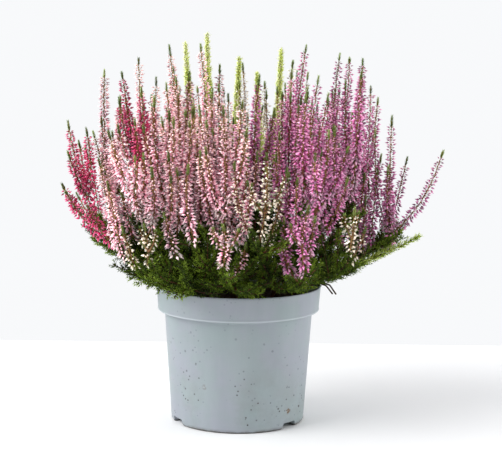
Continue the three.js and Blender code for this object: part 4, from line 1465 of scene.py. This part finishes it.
def soil_material():
    s = Shader("peat")
    coarse = s.noise(160, 5, 0.7)
    fine = s.noise(900, 4, 0.7)
    body = s.ramp(s.plus(s.times(coarse, 0.6), s.times(fine, 0.4)),
                  [(0.32, (24, 16, 11)), (0.55, (52, 37, 26)), (0.75, (92, 68, 48))])
    fibres = s.noise(260, 2, 0.5, (0.2, 1.6, 1))
    body = s.mix(s.span(fibres, 0.64, 0.72, 0.0, 0.5), body, (122, 94, 66))
    s.bump(s.plus(coarse, fine), 0.8, 0.0012)
    return s.finish(body, s.span(fine, 0.3, 0.7, 0.8, 1.0), 0.2)


def soil_side(height):
    return wall_radius_at(height) - WALL - FIT_GAP - 0.4


def make_soil():
    """The soil block: its top is lumpy, with crumbs of peat on it."""
    edge = RIM_RADIUS - WALL - 2
    walls = [(soil_side(FLOOR_TOP), FLOOR_TOP + FIT_GAP), (soil_side(BAND_FOOT), BAND_FOOT + 0.4),
             (edge - 0.2, BAND_FOOT + 3.2), (edge, SOIL_TOP - 1.6)]
    surface = [(radius, None) for radius in np.linspace(edge, 1.6, 40)[1:]]
    vertices = [(0, 0, FLOOR_TOP + FIT_GAP)]
    for radius, height in walls + surface:
        for k in range(SOIL_SIDES):
            x = radius * math.cos(2 * math.pi * k / SOIL_SIDES)
            y = radius * math.sin(2 * math.pi * k / SOIL_SIDES)
            vertices.append((x, y, rough_height_at(x, y) if height is None else height))
    vertices.append((0, 0, soil_height_at(0, 0)))
    rows = len(walls) + len(surface)
    faces = []
    for k in range(SOIL_SIDES):
        n = (k + 1) % SOIL_SIDES
        faces.append((0, 1 + n, 1 + k))
        for row in range(rows - 1):
            a, b = 1 + row * SOIL_SIDES + k, 1 + row * SOIL_SIDES + n
            faces += [(a, b, b + SOIL_SIDES), (a, b + SOIL_SIDES, a + SOIL_SIDES)]
        last = 1 + (rows - 1) * SOIL_SIDES
        faces.append((last + k, last + n, len(vertices) - 1))
    clump = Clump()
    clump.add(np.array(vertices), np.array(faces), 0, 0.5, 0.5, 0.5)
    scatter_crumbs(clump, edge - 2)
    dress(clump.make("soil_surface", [soil_material()]), "soil")


def scatter_crumbs(clump, reach):
    ball = bmesh.new()
    bmesh.ops.create_icosphere(ball, subdivisions=1, radius=0.5)
    shape = np.array([v.co for v in ball.verts])
    faces = np.array([[v.index for v in f.verts] for f in ball.faces])
    ball.free()
    for _ in range(CRUMBS):
        radius = reach * math.sqrt(rng.uniform())
        angle = rng.uniform(0, 2 * math.pi)
        x, y = radius * math.cos(angle), radius * math.sin(angle)
        size = 0.8 + 2.6 * rng.uniform() ** 3
        lumps = shape * size * rng.uniform(0.7, 1.25, (len(shape), 1)) * rng.uniform(0.6, 1.2, 3)
        centre = vec(x, y, rough_height_at(x, y) + size * 0.12)
        clump.add(lumps + centre, faces, 0, rng.uniform(), 0.5, 0.5)


make_soil()

# ---------------------------------------------------------------- stage, light and camera

BACKDROP = (0.94, 0.95, 0.965, 1)
FRONT = (0.33, 0.34, 0.35, 1)
FLOOR_COLOUR = (0.95, 0.95, 0.955, 1)
FLOOR_HALF = 6
BACKDROP_START = 0.278             # the floor takes the backdrop's tone from here
BACKDROP_FULL = 0.284              # to here
CAMERA_PLACE = (0.0092, -1.051, 0.2827)
CAMERA_TURN = (math.radians(90) - 0.123, -0.011, 0.00136)
CAMERA_LENS = 96.44


def make_floor():
    """A pale floor; beyond the line behind the pot it takes the tone of the backdrop."""
    mesh = bpy.data.meshes.new("floor")
    corners = [(x * FLOOR_HALF, y * FLOOR_HALF, 0) for x, y in ((-1, -1), (1, -1), (1, 1), (-1, 1))]
    mesh.from_pydata(corners, [], [(0, 1, 2, 3)])
    floor = add_object("floor", mesh)
    s = Shader("floor_white")
    s.finish(FLOOR_COLOUR, 0.6, 0.2)
    blend = s.node("ShaderNodeMixShader")
    glow = s.node("ShaderNodeEmission", Color=BACKDROP)
    beyond = s.span(s.coordinate("Y"), BACKDROP_START, BACKDROP_FULL)
    for number, value in enumerate((beyond, s.principled.outputs[0], glow.outputs[0])):
        s.feed(blend.inputs[number], value)
    s.feed(s.nodes["Material Output"].inputs["Surface"], blend.outputs[0])
    mesh.materials.append(s.material)


def make_light(name, place, target, size, power):
    data = bpy.data.lights.new(name, "AREA")
    data.shape = "DISK"
    data.size = size
    data.energy = power
    light = add_object(name, data)
    light.location = place
    light.rotation_euler = (Vector(target) - Vector(place)).to_track_quat("-Z", "Y").to_euler()


def make_world():
    """A studio that is bright behind the plant and dim in front of it."""
    world = bpy.data.worlds.new("studio")
    world.use_nodes = True
    nodes, links = world.node_tree.nodes, world.node_tree.links
    place = nodes.new("ShaderNodeTexCoord")
    split = nodes.new("ShaderNodeSeparateXYZ")
    links.new(place.outputs["Generated"], split.inputs[0])
    ramp = nodes.new("ShaderNodeValToRGB")
    shift = nodes.new("ShaderNodeMapRange")
    shift.inputs["From Min"].default_value = -1
    links.new(split.outputs["Y"], shift.inputs["Value"])
    links.new(shift.outputs["Result"], ramp.inputs["Fac"])
    stops = ((0.1, FRONT), (0.62, BACKDROP))
    for element, (position, colour) in zip(ramp.color_ramp.elements, stops):
        element.position = position
        element.color = colour
    links.new(ramp.outputs["Color"], nodes["Background"].inputs["Color"])
    bpy.context.scene.world = world


def make_camera():
    data = bpy.data.cameras.new("camera")
    data.sensor_width = 36
    data.lens = CAMERA_LENS
    data.clip_end = 50
    camera = add_object("camera", data)
    camera.location = CAMERA_PLACE
    camera.rotation_euler = CAMERA_TURN
    bpy.context.scene.camera = camera


make_floor()
make_light("key", place=(-1.45, -0.62, 1.35), target=(0, 0, 0.15), size=1.6, power=37)
make_light("fill", place=(1.7, 0.0, 0.6), target=(0, 0, 0.12), size=1.2, power=11)
make_world()
make_camera()
bpy.context.scene.view_settings.view_transform = "Standard"
